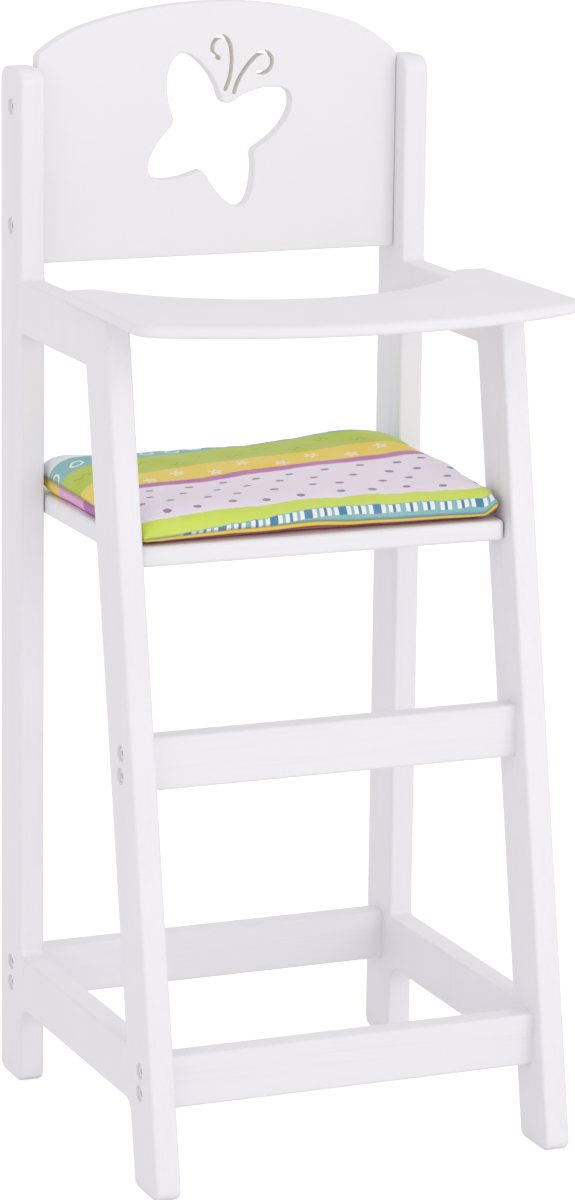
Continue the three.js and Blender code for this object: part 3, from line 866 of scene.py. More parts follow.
@dataclass
class SideFrame:
    """One side of the chair: a post, an arm, a raked leg and a low rail, in one board."""

    word: str
    post_depth: float = 30.0
    post_top_radius: float = 8.0
    leg_width: float = 30.0
    arm_end_reach: float = 148.0
    foot_reach: float = 225.0
    arm_height: float = 27.0
    rail_bottom: float = 40.3
    rail_height: float = 27.7
    foot_radius: float = 4.5
    window_radius: float = 3.0
    leg_arch_radius: float = 7.0
    post_arch_radius: float = 11.0
    arm_corner_radius: float = 3.0
    edge: float = 1.5
    recess_diameter: float = 8.0
    recess_depth: float = 4.0
    recess_rim: float = 0.35

    def __post_init__(self) -> None:
        """Reads the board's place from the frame."""
        self.node = f"{self.word}_side_frame"
        self.side = SIDES[self.word]
        self.box = Box.of(self.node)
        self.thickness = self.box.size.x
        self.arm_top = Box.of("tray").low.z
        self.rake = (self.foot_reach - self.arm_end_reach) / self.arm_top

    def corner(self, reach: float, height: float, radius: float) -> tuple[float, float, float]:
        """A corner of the outline, at a reach and a height."""
        return self.box.high.y - reach, height, radius

    def leg_front(self, height: float) -> float:
        """The reach of the leg's front edge."""
        return self.foot_reach - self.rake * height

    def leg_rear(self, height: float) -> float:
        """The reach of the leg's rear edge."""
        return self.leg_front(height) - self.leg_width * math.hypot(1, self.rake)

    def outline(self) -> list[Vector]:
        """The board's outer outline."""
        low = self.rail_bottom
        return rounded([
            self.corner(0, 0, self.foot_radius),
            self.corner(0, self.box.high.z, self.post_top_radius),
            self.corner(self.post_depth, self.box.high.z, self.post_top_radius),
            self.corner(self.post_depth, self.arm_top, self.arm_corner_radius),
            self.corner(self.arm_end_reach, self.arm_top, self.arm_corner_radius),
            self.corner(self.leg_front(0), 0, self.foot_radius),
            self.corner(self.leg_rear(0), 0, self.foot_radius),
            self.corner(self.leg_rear(low), low, self.leg_arch_radius),
            self.corner(self.post_depth, low, self.post_arch_radius),
            self.corner(self.post_depth, 0, self.foot_radius),
        ])

    def window(self) -> list[Vector]:
        """The outline of the opening between the post, the arm, the leg and the low rail."""
        low = self.rail_bottom + self.rail_height
        high = self.arm_top - self.arm_height
        return rounded([
            self.corner(self.post_depth, low, self.window_radius),
            self.corner(self.leg_rear(low), low, self.window_radius),
            self.corner(self.leg_rear(high), high, self.window_radius),
            self.corner(self.post_depth, high, self.window_radius),
        ])

    def screw_wall(self) -> Profile:
        """Profile of a screw's hole, with the recess that its head lies in."""
        radius = self.recess_diameter / 2
        floor = self.thickness - self.recess_depth
        step = SCREW_HOLE / 2 - radius
        return ((self.recess_rim, self.thickness, 0.0), (0.0, self.thickness - self.recess_rim, 0.4),
                (0.0, floor, 0.0), (step, floor, 0.0), (step, 0.0, 0.0))

    def build(self, finishes: Finishes) -> None:
        """Makes the board.

        Args:
            finishes: The boards' materials.
        """
        board = Board(f"{self.word}_side_board")
        profile = eased(self.thickness, self.edge)
        board.outer(self.outline(), profile)
        board.hole(self.window(), profile)
        for piece in CROSS_PIECES:
            for level in LEVELS:
                middle = Box.of(f"{self.word}_{piece}_screw_{level}").middle
                board.hole(circle(middle.yz, self.recess_diameter / 2), self.screw_wall())
        for dowel in dowel_boxes("seat", [self.word]):
            inside = min(dowel.size.x, abs(self.side * self.inner_x - self.far_x(dowel))) + PLAY
            board.hole(circle(dowel.middle.yz, DOWEL_HOLE / 2), straight(0.0, inside), blind=True)
        piece = board.build(lambda y, z, over: Vector((self.side * (self.inner_x + over), y, z)),
                            (finishes.side,))
        drill_dowels(piece, dowel_boxes("tray", [self.word]))
        report(piece, CHAIR, [self.node])

    @property
    def inner_x(self) -> float:
        """How far the board's inner face is from the chair's middle."""
        return min(abs(self.box.low.x), abs(self.box.high.x))

    def far_x(self, box: Box) -> float:
        """The end of a box that is farther from the chair's middle."""
        return max(box.low.x, box.high.x, key=abs)


@dataclass
class CrossRail:
    """A rail between the two side frames, with square ends."""

    node: str
    edge: float = 1.5

    def build(self, finishes: Finishes) -> None:
        """Makes the rail.

        Args:
            finishes: The boards' materials.
        """
        box = Box.of(self.node)
        length = box.size.x
        board = Board(self.node.replace("rail", "bar"))
        section = oblong(box.low.yz, box.high.yz, self.edge, steps=5)
        board.outer(section, straight(length, 0.0), corners_wear=True)
        for level in LEVELS:
            spot = Box.of(f"right_{self.node}_screw_{level}").middle.yz
            for start, floor in ((0.0, SCREW_BORE), (length, length - SCREW_BORE)):
                board.hole(circle(spot, SCREW_HOLE / 2, sides=16), straight(start, floor), blind=True)
        piece = board.build(lambda y, z, over: Vector((box.low.x + over, y, z)), (finishes.rail,))
        report(piece, CHAIR, [self.node])


# Half of the butterfly's outline, from the head between the upper wings to the notch between the
# lower ones, as cubic curves: two guide points and an end point, each across and along the body,
# as shares of half the span and half the height.
BUTTERFLY_START_SHARES = (0.0, 0.5)
BUTTERFLY_CURVE_SHARES = (
    (0.05, 0.5, 0.085, 0.535, 0.12, 0.585),
    (0.26, 0.78, 0.5, 0.93, 0.74, 0.97),
    (0.89, 0.99, 0.975, 0.88, 0.972, 0.68),
    (0.962, 0.44, 0.8, 0.21, 0.675, 0.06),
    (0.645, 0.025, 0.645, -0.02, 0.667, -0.07),
    (0.76, -0.25, 0.8, -0.42, 0.81, -0.58),
    (0.818, -0.73, 0.75, -0.825, 0.63, -0.82),
    (0.44, -0.795, 0.25, -0.69, 0.08, -0.545),
    (0.045, -0.515, 0.02, -0.5, 0.0, -0.5),
)

# The middle line of one antenna, from the head to the tip of its curl, in the same shares
ANTENNA_SHARES = ((0.07, 0.683), (0.067, 0.833), (0.1, 1.014), (0.161, 1.18), (0.242, 1.311),
                  (0.347, 1.361), (0.444, 1.306), (0.472, 1.194), (0.42, 1.095), (0.32, 1.06))


@dataclass
class BackPanel:
    """The arched panel between the posts, with a butterfly and two antennae cut through it."""

    node: str = "back_panel"
    edge: float = 0.75
    arch_across: float = -2.2
    arch_radius: float = 245.0
    crown_width: float = 136.0
    shoulder_radius: float = 73.0
    corner_radius: float = 5.0
    paint_fill: float = 0.25
    span: float = 72.0
    height: float = 72.0
    across: float = -2.8
    drop: float = 68.4
    tilt: float = math.radians(20)
    antenna_width: float = 2.2
    antenna_rim: float = 0.2

    def __post_init__(self) -> None:
        """Reads the panel's place from the frame."""
        self.box = Box.of(self.node)

    def outline(self) -> list[Vector]:
        """The panel's outer outline, across X and Z."""
        box = self.box
        half = box.high.x + self.paint_fill
        crown = math.asin(self.crown_width / 2 / self.arch_radius)
        arch = Vector((self.arch_across, box.high.z - self.arch_radius))
        beside = (self.arch_radius - self.shoulder_radius) * Vector((math.sin(crown), math.cos(crown)))
        reach = self.shoulder_radius - self.corner_radius
        up = math.pi / 2
        lines = []
        for side in (1, -1):
            shoulder = arch + Vector((side * beside.x, beside.y))
            turn = math.asin((half - self.corner_radius - side * shoulder.x) / reach)
            corner = Vector((side * (half - self.corner_radius), shoulder.y + reach * math.cos(turn)))
            lines.append([*arc(corner, self.corner_radius, up - side * up, up - side * turn, 6)[:-1],
                          *arc(shoulder, self.shoulder_radius, up - side * turn, up - side * crown, 10)])
        right, left = lines
        middle = arc(arch, self.arch_radius, up - crown, up + crown, 28)
        base = [Vector((-half, box.low.z)), Vector((half, box.low.z))]
        return softened([*base, *right, *middle[1:-1], *reversed(left)], 2 * self.edge)

    def on_butterfly(self, side: int, across: float, along: float) -> Vector:
        """Turns shares of the butterfly's own axes into a place on the panel."""
        place = Vector((side * across * self.span, along * self.height)) / 2
        place.rotate(Matrix.Rotation(-self.tilt, 2))
        return place + Vector((self.across, self.box.high.z - self.drop))

    def butterfly(self) -> list[Vector]:
        """The outline of the butterfly, one half and then the other."""
        halves = []
        for side in (1, -1):
            last = self.on_butterfly(side, *BUTTERFLY_START_SHARES)
            half = [last]
            for shares in BUTTERFLY_CURVE_SHARES:
                guides = [self.on_butterfly(side, *shares[at:at + 2]) for at in (0, 2, 4)]
                half += bezier((last, *guides), 9)
                last = guides[-1]
            halves.append(half)
        return [*halves[0], *reversed(halves[1][1:-1])]

    def antenna(self, side: int) -> list[Vector]:
        """The outline of one antenna's slot.

        Args:
            side: -1 for the left antenna and 1 for the right one.

        Returns:
            The outline, with round ends.
        """
        line = spline([self.on_butterfly(side, *shares) for shares in ANTENNA_SHARES], 4)
        ways = [(after - before).normalized() for before, after in
                zip([line[0], *line[:-1]], [*line[1:], line[-1]])]
        aside = [Vector((-way.y, way.x)) * self.antenna_width / 2 for way in ways]
        ends = []
        for point, away in ((line[-1], aside[-1]), (line[0], -aside[0])):
            start = math.atan2(away.y, away.x)
            ends.append(arc(point, self.antenna_width / 2, start, start - math.pi, 8)[1:-1])
        left = [point + away for point, away in zip(line, aside)]
        right = [point - away for point, away in zip(line, aside)]
        return [*left, *ends[0], *reversed(right), *ends[1]]

    def build(self, finishes: Finishes) -> None:
        """Makes the panel.

        Args:
            finishes: The boards' materials.
        """
        box = self.box
        thickness = box.size.y
        board = Board("arched_back_board")
        board.outer(self.outline(), eased(thickness, self.edge))
        board.hole(self.butterfly(), eased(thickness, self.edge))
        for side in SIDES.values():
            board.hole(self.antenna(side), eased(thickness, self.antenna_rim, steps=2), BARE)
        piece = board.build(lambda x, z, over: Vector((x, box.high.y - over, z)),
                            (finishes.smooth, finishes.bare))
        bores = []
        for side in SIDES.values():
            for level in LEVELS:
                middle = Box.of(f"left_{self.node}_screw_{level}").middle
                end = Vector((side * box.high.x, middle.y, middle.z))
                reach = Vector((SCREW_BORE, SCREW_HOLE / 2, SCREW_HOLE / 2))
                bores.append(Box(end - reach, end + reach))
        drill(piece, bores, SCREW_HOLE)
        report(piece, CHAIR, [self.node])


@dataclass
class Tray:
    """The tray on the arms, with ears, a curved rear edge and a bowed front."""

    node: str = "tray"
    rear_width: float = 227.0
    front_radius: float = 245.0
    tip_radius: float = 17.0
    ear_width: float = 17.0
    cut_rise: float = 59.0
    edge: float = 2.0

    def __post_init__(self) -> None:
        """Reads the tray's place from the frame."""
        self.box = Box.of(self.node)

    def outline(self) -> list[Vector]:
        """The tray's outline, across X and Y."""
        box = self.box
        half_front, half_rear = box.high.x, self.rear_width / 2
        cut_half = half_rear - self.ear_width
        cut_radius = (cut_half ** 2 + self.cut_rise ** 2) / (2 * self.cut_rise)
        cut_angle = math.asin(cut_half / cut_radius)
        cut_centre = Vector((0, box.high.y - self.cut_rise + cut_radius))
        front_centre = Vector((0, box.low.y + self.front_radius))
        tip_x = half_front - self.tip_radius
        tip = Vector((tip_x, front_centre.y - math.sqrt((self.front_radius - self.tip_radius) ** 2
                                                         - tip_x ** 2)))
        front_angle = math.atan2(tip_x, front_centre.y - tip.y)
        down = -math.pi / 2
        return softened([
            *arc(cut_centre, cut_radius, down + cut_angle, down - cut_angle, 30),
            Vector((-half_rear, box.high.y)),
            *arc(Vector((-tip.x, tip.y)), self.tip_radius, -math.pi, down - front_angle, 12),
            *arc(front_centre, self.front_radius, down - front_angle, down + front_angle, 36)[1:-1],
            *arc(tip, self.tip_radius, down + front_angle, 0.0, 12),
            Vector((half_rear, box.high.y)),
        ], self.edge + 1)

    def build(self, finishes: Finishes) -> None:
        """Makes the tray.

        Args:
            finishes: The boards' materials.
        """
        box = self.box
        board = Board("curved_tray_board")
        board.outer(self.outline(), eased(box.size.z, self.edge, steps=6))
        for dowel in dowel_boxes("tray"):
            depth = dowel.high.z - box.low.z + PLAY
            board.hole(circle(dowel.middle.xy, DOWEL_HOLE / 2), straight(0.0, depth), blind=True)
        piece = board.build(lambda x, y, over: Vector((x, y, box.low.z + over)), (finishes.smooth,))
        report(piece, CHAIR, [self.node])


@dataclass
class SeatBoard:
    """The flat seat between the side frames."""

    node: str = "seat_board"
    corner_radius: float = 4.0
    edge: float = 2.0

    def build(self, finishes: Finishes) -> None:
        """Makes the seat.

        Args:
            finishes: The boards' materials.
        """
        box = Box.of(self.node)
        board = Board("flat_seat_board")
        board.outer(oblong(box.low.xy, box.high.xy, self.corner_radius), eased(box.size.z, self.edge))
        piece = board.build(lambda x, y, over: Vector((x, y, box.low.z + over)), (finishes.rail,))
        drill_dowels(piece, dowel_boxes("seat"))
        report(piece, CHAIR, [self.node])


class TurnedTree:
    """A geometry tree that turns one round piece, station by station, and sets it at every point.

    The piece stands along +Z, and each point has a vector attribute, facing, that says where +Z goes.
    """

    def __init__(self, name: str, sizes: Sequence[str], material: Material) -> None:
        """Starts the tree.

        Args:
            name: The tree's name.
            sizes: The names of its length inputs.
            material: The piece's material.
        """
        inputs = {"Geometry": "geometry", "Sides": "count", **dict.fromkeys(sizes, "value")}
        self.group = NodeGroup(name, GroupKind.GEOMETRY, inputs, {"Geometry": "geometry"})
        self.graph = self.group.graph
        self.material = material
        self.mesh: Socket | None = None
        self.top: Socket | None = None

    def size(self, name: str) -> Socket:
        """One of the tree's inputs."""
        return self.group.inputs[name]

    def angle(self) -> Socket:
        """The angle of a point round the piece's axis."""
        x, y, _ = self.graph.split(self.graph.node("GeometryNodeInputPosition").outputs[0])
        return self.graph.math("ARCTAN2", y, x)

    def set_ring(self, mesh: Socket, chosen: Socket, radius: object, height: object) -> Socket:
        """Moves a ring of points to a radius and a height."""
        angle = self.angle()
        place = self.graph.join(self.graph.times(self.graph.math("COSINE", angle), radius),
                                self.graph.times(self.graph.math("SINE", angle), radius), height)
        inputs = {"Geometry": mesh, "Selection": chosen, "Position": place}
        return self.graph.node("GeometryNodeSetPosition", inputs).outputs[0]

    def start(self, radius: object, height: object, next_radius: object, next_height: object) -> None:
        """Makes the first two rings, closed at both ends."""
        blank = self.graph.node("GeometryNodeMeshCylinder", {"Vertices": self.size("Sides"), "Radius": MM,
                                                             "Depth": MM})
        lower = self.set_ring(blank.outputs["Mesh"], blank.outputs["Bottom"], radius, height)
        self.mesh = self.set_ring(lower, blank.outputs["Top"], next_radius, next_height)
        self.top = blank.outputs["Top"]

    def station(self, radius: object, height: object) -> None:
        """Draws the end face out to a new ring."""
        drawn = self.graph.node("GeometryNodeExtrudeMesh", {"Mesh": self.mesh, "Selection": self.top,
                                                            "Offset Scale": 0.0, "Individual": False})
        self.mesh = self.set_ring(drawn.outputs["Mesh"], drawn.outputs["Top"], radius, height)
        self.top = drawn.outputs["Top"]

    def finish(self) -> None:
        """Sets the piece at every point, makes it real and gives it its material."""
        graph = self.graph
        facing = graph.node("GeometryNodeInputNamedAttribute", {"Name": "facing"}, data_type="FLOAT_VECTOR")
        turn = graph.node("FunctionNodeAlignRotationToVector", {"Vector": facing.outputs[0]}, axis="Z")
        copies = graph.node("GeometryNodeInstanceOnPoints", {
            "Points": self.group.inputs["Geometry"], "Instance": self.mesh, "Rotation": turn.outputs[0]})
        real = graph.node("GeometryNodeRealizeInstances", {0: copies.outputs[0]})
        dressed = graph.node("GeometryNodeSetMaterial", {"Geometry": real.outputs[0],
                                                         "Material": self.material})
        self.group.put("Geometry", dressed.outputs[0])

    def make(self, name: str, sides: int, sizes: dict[str, float], points: Sequence[Vector],
             facings: Sequence[Vector]) -> Piece:
        """Runs the tree.

        Args:
            name: The new object's name.
            sides: How many sides each ring has.
            sizes: The lengths by input, in millimetres.
            points: Where the pieces go, in millimetres.
            facings: Where their tops face.

        Returns:
            All the copies as one plain mesh.
        """
        data = bpy.data.meshes.new(name)
        data.from_pydata([point * MM for point in points], [], [])
        attribute = data.attributes.new("facing", "FLOAT_VECTOR", "POINT")
        attribute.data.foreach_set("vector", [part for facing in facings for part in facing])
        piece = link(name, data)
        modifier = piece.modifiers.new("turned", "NODES")
        modifier.node_group = self.group.tree
        modifier[self.group.identifiers["Sides"]] = sides
        for size, value in sizes.items():
            modifier[self.group.identifiers[size]] = value * MM
        settle(piece)
        even_normals(piece)
        return piece


@dataclass
class Screws:
    """The sixteen screws, each with a round head and a six-sided socket."""

    shank: float = 3.6
    length: float = 35.0
    tip: float = 5.0
    head: float = 7.0
    head_height: float = 2.4
    socket: float = 3.0
    socket_depth: float = 1.4
    sides: int = 24

    def tree(self, material: Material) -> TurnedTree:
        """Builds the tree of one screw, whose head's top is at height zero.

        Args:
            material: The plating.

        Returns:
            The tree.
        """
        tree = TurnedTree("screws", ("Shank", "Length", "Tip", "Head", "Head Height", "Socket",
                                     "Socket Depth"), material)
        graph, size = tree.graph, tree.size
        shank = graph.over(size("Shank"), 2.0)
        head = graph.over(size("Head"), 2.0)
        under_head = graph.times(size("Head Height"), -1.0)
        chamfer = graph.over(size("Head Height"), 4.0)
        end = graph.minus(under_head, size("Length"))
        tree.start(graph.over(shank, 3.0), end, shank, graph.plus(end, size("Tip")))
        tree.station(shank, under_head)
        tree.station(head, under_head)
        tree.station(head, graph.times(chamfer, -1.0))
        tree.station(graph.minus(head, chamfer), 0.0)
        sixth = math.pi / 3
        side_angle = graph.math("WRAP", tree.angle(), sixth / 2, -sixth / 2)
        six_sided = graph.over(graph.over(size("Socket"), 2.0), graph.math("COSINE", side_angle))
        tree.station(six_sided, 0.0)
        tree.station(six_sided, graph.times(size("Socket Depth"), -1.0))
        tree.finish()
        return tree

    def build(self, material: Material) -> None:
        """Makes the screws.

        Args:
            material: The plating.
        """
        nodes, points, facings = [], [], []
        for word, side in SIDES.items():
            for piece in CROSS_PIECES:
                for level in LEVELS:
                    nodes.append(f"{word}_{piece}_screw_{level}")
                    box = Box.of(nodes[-1])
                    outer = box.low.x if side < 0 else box.high.x
                    points.append(Vector((outer, box.middle.y, box.middle.z)))
                    facings.append(Vector((side, 0, 0)))
        sizes = {"Shank": self.shank, "Length": self.length, "Tip": self.tip, "Head": self.head,
                 "Head Height": self.head_height, "Socket": self.socket, "Socket Depth": self.socket_depth}
        piece = self.tree(material).make("socket_screws", self.sides, sizes, points, facings)
        report(piece, CHAIR, nodes)


@dataclass
class Dowels:
    """The wooden dowels, with flutes for the glue and chamfered ends."""

    chamfer: float = 0.8
    flute_share: float = 0.06
    flutes: int = 12
    sides: int = 48

    def tree(self, material: Material) -> TurnedTree:
        """Builds the tree of one dowel, which stands on height zero.

        Args:
            material: The wood.

        Returns:
            The tree.
        """
        tree = TurnedTree("dowels", ("Diameter", "Length", "Chamfer"), material)
        graph, size = tree.graph, tree.size
        wave = graph.math("COSINE", graph.times(tree.angle(), float(self.flutes)))
        flute = graph.minus(1.0, graph.times(graph.math("MAXIMUM", wave, 0.0), self.flute_share))
        radius = graph.times(graph.over(size("Diameter"), 2.0), flute)
        small = graph.minus(radius, size("Chamfer"))
        tree.start(small, 0.0, radius, size("Chamfer"))
        tree.station(radius, graph.minus(size("Length"), size("Chamfer")))
        tree.station(small, size("Length"))
        tree.finish()
        return tree

    def build(self, material: Material) -> None:
        """Makes the seat's dowels and the tray's dowels.

        Args:
            material: The wood.
        """
        tree = self.tree(material)
        for owner, along in (("seat", 0), ("tray", 2)):
            nodes = [f"{word}_{owner}_dowel_{place}" for word in SIDES for place in DOWEL_PLACES]
            boxes = [Box.of(node) for node in nodes]
            axis = unit_axis(along)
            length, diameter = boxes[0].size[along], boxes[0].size.y
            points = [box.middle - axis * length / 2 for box in boxes]
            sizes = {"Diameter": diameter, "Length": length, "Chamfer": self.chamfer}
            piece = tree.make(f"{owner}_dowels", self.sides, sizes, points, [axis] * len(points))
            report(piece, CHAIR, nodes)


@dataclass(frozen=True)
class Stripe:
    """A stripe of the print: where it starts, in millimetres from the front seam, and its colour."""

    start: float
    colour: Colour


def from_screen(red: int, green: int, blue: int) -> Colour:
    """Turns a colour of 0 to 255, as a screen shows it, into the shader's numbers."""
    parts = (part / 255 for part in (red, green, blue))
    return tuple(part / 12.92 if part <= 0.04045 else ((part + 0.055) / 1.055) ** 2.4 for part in parts)


TURQUOISE = from_screen(132, 190, 193)
DEEP_BLUE = from_screen(62, 132, 178)
LIME = from_screen(211, 230, 82)
LEAF = from_screen(188, 206, 64)
MOSS = from_screen(128, 160, 70)
ORANGE = from_screen(243, 213, 72)
LILAC = from_screen(244, 234, 246)
GREY_LILAC = from_screen(238, 243, 246)
PLUM = from_screen(158, 130, 160)
MAGENTA = from_screen(192, 112, 176)
PINK = from_screen(236, 172, 214)
# A dark wine red: the cloth's red under the front roll, darkened further by painted shade
SHADED_WINE = from_screen(150, 44, 58)
CORAL = from_screen(224, 122, 128)
OFF_WHITE = from_screen(246, 246, 240)
# Painted shade: a dark brown that stands in for the shadow in the crease along the cushion's seam
SEAM_PAINTED_SHADE = from_screen(92, 74, 70)

TOP_STRIPES = (
    Stripe(0.0, TURQUOISE),
    Stripe(8.0, LIME),
    Stripe(14.4, LILAC),
    Stripe(73.0, PINK),
    Stripe(74.5, MAGENTA),
    Stripe(81.0, ORANGE),
    Stripe(102.0, LEAF),
    Stripe(129.0, TURQUOISE),
    Stripe(147.0, GREY_LILAC),
)
BOTTOM_STRIPES = (
    Stripe(0.0, ORANGE),
    # The narrow dark wine band under the front roll is partly the cloth's red and partly painted shade
    Stripe(1.6, SHADED_WINE),
    Stripe(4.5, CORAL),
    Stripe(16.0, LIME),
    Stripe(30.0, LILAC),
    Stripe(58.0, MAGENTA),
    Stripe(82.0, PINK),
    Stripe(117.0, ORANGE),
    Stripe(137.0, LEAF),
)


@dataclass(frozen=True)
class Row:
    """A row of one motif, in millimetres of cloth from the front seam.

    Every other motif is staggered, which sets it farther back.
    """

    pitch: float
    middle: float
    stagger: float


@dataclass(frozen=True)
class Motifs:
    """Masks of small generic motifs at a place across the cloth and along it. Sizes are in millimetres."""

    graph: Graph
    across: Socket
    along: Socket
    flower_row: Row = Row(pitch=19.0, middle=87.7, stagger=7.5)
    flower_radius: float = 3.1
    flower_eye: float = 0.9
    petals: float = 5.0
    petal_swing: float = 1.1
    ring_row: Row = Row(pitch=14.0, middle=137.0, stagger=1.5)
    ring_radius: float = 3.4
    ring_half_line: float = 0.65
    stroke_row: Row = Row(pitch=17.0, middle=110.0, stagger=9.0)
    stroke_waves: float = 1.1
    stroke_swing: float = 1.4
    stroke_half_line: float = 0.5
    stroke_half_length: float = 4.0
    dot_pitch: float = 19.0
    dot_row_pitch: float = 14.6
    dot_shift_share: float = 0.35
    dot_radius_share: float = 0.12
    dot_disorder: float = 0.3
    dot_band: tuple[float, float] = (16.0, 72.0)
    dash_pitch: float = 9.2
    dash_band: tuple[float, float] = (3.5, 7.8)
    dash_width: float = 2.3
    block_half: float = 0.8
    block_growth: float = 1.4
    narrow_chance: float = 0.65

    def band(self, low: float, high: float) -> Socket:
        """Marks the cloth between two distances from the front seam."""
        return self.graph.times(self.graph.more(self.along, low), self.graph.less(self.along, high))

    def cells(self, row: Row) -> tuple[Socket, Socket, Socket]:
        """Lays a row of cells across the cloth, one for each motif.

        Args:
            row: The row.

        Returns:
            The distances from a cell's own middle, and the cell's number.
        """
        graph = self.graph
        turn = graph.over(self.across, row.pitch)
        number = graph.math("FLOOR", turn)
        local_x = graph.times(graph.minus(graph.math("FRACT", turn), 0.5), row.pitch)
        odd = graph.times(graph.math("MODULO", number, 2.0), row.stagger)
        return local_x, graph.minus(self.along, graph.plus(odd, row.middle)), number

    def radius(self, x: Socket, y: Socket) -> Socket:
        """The distance from a cell's middle."""
        return self.graph.vector("LENGTH", self.graph.join(x, y)).outputs["Value"]

    def flowers(self) -> Socket:
        """Masks small five-petalled flowers on the orange stripe."""
        graph = self.graph
        x, y, number = self.cells(self.flower_row)
        radius = self.radius(x, y)
        turn = graph.plus(graph.times(graph.math("ARCTAN2", y, x), self.petals), number)
        reach = graph.plus(graph.times(graph.math("COSINE", turn), self.petal_swing), self.flower_radius)
        return graph.times(graph.less(radius, reach), graph.more(radius, self.flower_eye))

    def rings(self) -> Socket:
        """Masks white rings on the rear turquoise stripe."""
        x, y, _ = self.cells(self.ring_row)
        line = self.graph.size(self.graph.minus(self.radius(x, y), self.ring_radius))
        return self.graph.less(line, self.ring_half_line)

    def strokes(self) -> Socket:
        """Masks short wavy strokes on the leaf green stripe."""
        graph = self.graph
        x, y, _ = self.cells(self.stroke_row)
        wave = graph.times(graph.math("SINE", graph.times(x, self.stroke_waves)), self.stroke_swing)
        near = graph.less(graph.size(graph.minus(y, wave)), self.stroke_half_line)
        return graph.times(near, graph.less(graph.size(x), self.stroke_half_length))

    def dots(self) -> Socket:
        """Masks staggered dots on the lilac stripe."""
        graph = self.graph
        row = graph.over(self.along, self.dot_row_pitch)
        odd = graph.times(graph.math("MODULO", graph.math("FLOOR", row), 2.0), 0.5)
        across = graph.plus(graph.over(self.across, self.dot_pitch), odd)
        inputs = {"Vector": graph.join(across, graph.minus(row, self.dot_shift_share)), "Scale": 1.0,
                  "Randomness": self.dot_disorder}
        spots = graph.node("ShaderNodeTexVoronoi", inputs, voronoi_dimensions="2D")
        near = graph.less(spots.outputs["Distance"], self.dot_radius_share)
        return graph.times(near, self.band(*self.dot_band))

    def dashes(self) -> tuple[Socket, Socket]:
        """Masks pairs of dashes along the front turquoise stripe.

        Returns:
            The pairs with what lies between them, and the narrow or wide blocks between them.
        """
        graph = self.graph
        turn = graph.over(self.across, self.dash_pitch)
        chance = graph.node("ShaderNodeTexWhiteNoise", {"W": graph.math("FLOOR", turn)},
                            noise_dimensions="1D").outputs["Value"]
        grows = graph.times(graph.more(chance, self.narrow_chance), self.block_growth)
        inner = graph.plus(grows, self.block_half)
        away = graph.times(graph.size(graph.minus(graph.math("FRACT", turn), 0.5)), self.dash_pitch)
        row = self.band(*self.dash_band)
        pairs = graph.less(away, graph.plus(inner, self.dash_width))
        return graph.times(row, pairs), graph.times(row, graph.less(away, inner))


@dataclass(frozen=True)
class Cotton:
    """Printed cotton in stripes of small generic motifs, with painted shade along the seam.

    The piece's UV map holds its cloth: U across and V along, with the front seam at SEAM_V,
    the top panel above it and the bottom panel below.
    """

    name: str = "striped_cotton_print"
    threads: float = 2.4
    weave_depth: float = 0.12 * MM
    weave_strength: float = 0.6
    wobble: float = 3.6
    wobble_scale: float = 0.06
    fade_scale: float = 0.05
    fade_share: float = 0.12
    motif_share: float = 0.7
    seam_shade_share: float = 0.55

    def stripes(self, graph: Graph, along: Socket, stripes: Sequence[Stripe]) -> Socket:
        """Colours the cloth by its distance from the front seam.

        Args:
            graph: The material's graph.
            along: That distance.
            stripes: The stripes, from the front.

        Returns:
            The colour.
        """
        made = graph.node("ShaderNodeValToRGB", {"Fac": graph.over(along, CLOTH_UNIT)})
        ramp = made.color_ramp
        ramp.interpolation = "CONSTANT"
        for index, stripe in enumerate(stripes):
            stop = ramp.elements[index] if index < 2 else ramp.elements.new(1.0)
            stop.position = stripe.start / CLOTH_UNIT
            stop.color = (*stripe.colour, 1.0)
        return made.outputs["Color"]

    def material(self, groups: Groups) -> Material:
        """Builds the print.

        Args:
            groups: The shared shader groups.

        Returns:
            The material.
        """
        material, graph, shader = new_material(self.name, specular=0.25, Sheen_Weight=0.15,
                                               Sheen_Roughness=0.6)
        flat = graph.node("ShaderNodeTexCoord").outputs["UV"]
        cloth = graph.vector("SCALE", flat, Scale=CLOTH_UNIT).outputs[0]
        across, along, _ = graph.split(cloth)
        along = graph.minus(along, SEAM_V * CLOTH_UNIT)
        shake = graph.minus(graph.noise(cloth, self.wobble_scale, 2.0), 0.5)
        top = graph.plus(along, graph.times(shake, self.wobble))
        tone = self.stripes(graph, top, TOP_STRIPES)
        motifs = Motifs(graph, across, top)
        pairs, blocks = motifs.dashes()
        marks = (
            (motifs.dots(), PLUM),
            (graph.times(motifs.flowers(), self.motif_share), OFF_WHITE),
            (graph.times(motifs.strokes(), self.motif_share), MOSS),
            (motifs.rings(), OFF_WHITE),
            (pairs, OFF_WHITE),
            (blocks, DEEP_BLUE),
        )
        for mask, colour in marks:
            tone = graph.mix(mask, tone, colour)
        below = self.stripes(graph, graph.times(along, -1.0), BOTTOM_STRIPES)
        tone = graph.mix(graph.less(along, 0.0), tone, below)
        fade = graph.ramp(graph.noise(cloth, self.fade_scale, 3.0), 0.3, 0.7, 0.0, self.fade_share)
        tone = graph.mix(fade, tone, OFF_WHITE)
        # Painted shade: the seam's vertices are darkened towards dark brown, standing in for the shadow in
        # the seam's crease
        seam = graph.node("ShaderNodeAttribute", attribute_name="seam").outputs["Fac"]
        tone = graph.mix(graph.times(seam, self.seam_shade_share), tone, SEAM_PAINTED_SHADE)
        weave = graph.node("ShaderNodeGroup", {"Vector": cloth, "Threads": self.threads},
                           node_tree=groups.weave).outputs["Height"]
        rough = graph.ramp(weave, 0.0, 1.5, 0.95, 0.8)
        bump = graph.bump(weave, self.weave_depth, self.weave_strength)
        feed(graph, shader, Base_Color=tone, Roughness=rough, Normal=bump)
        return material


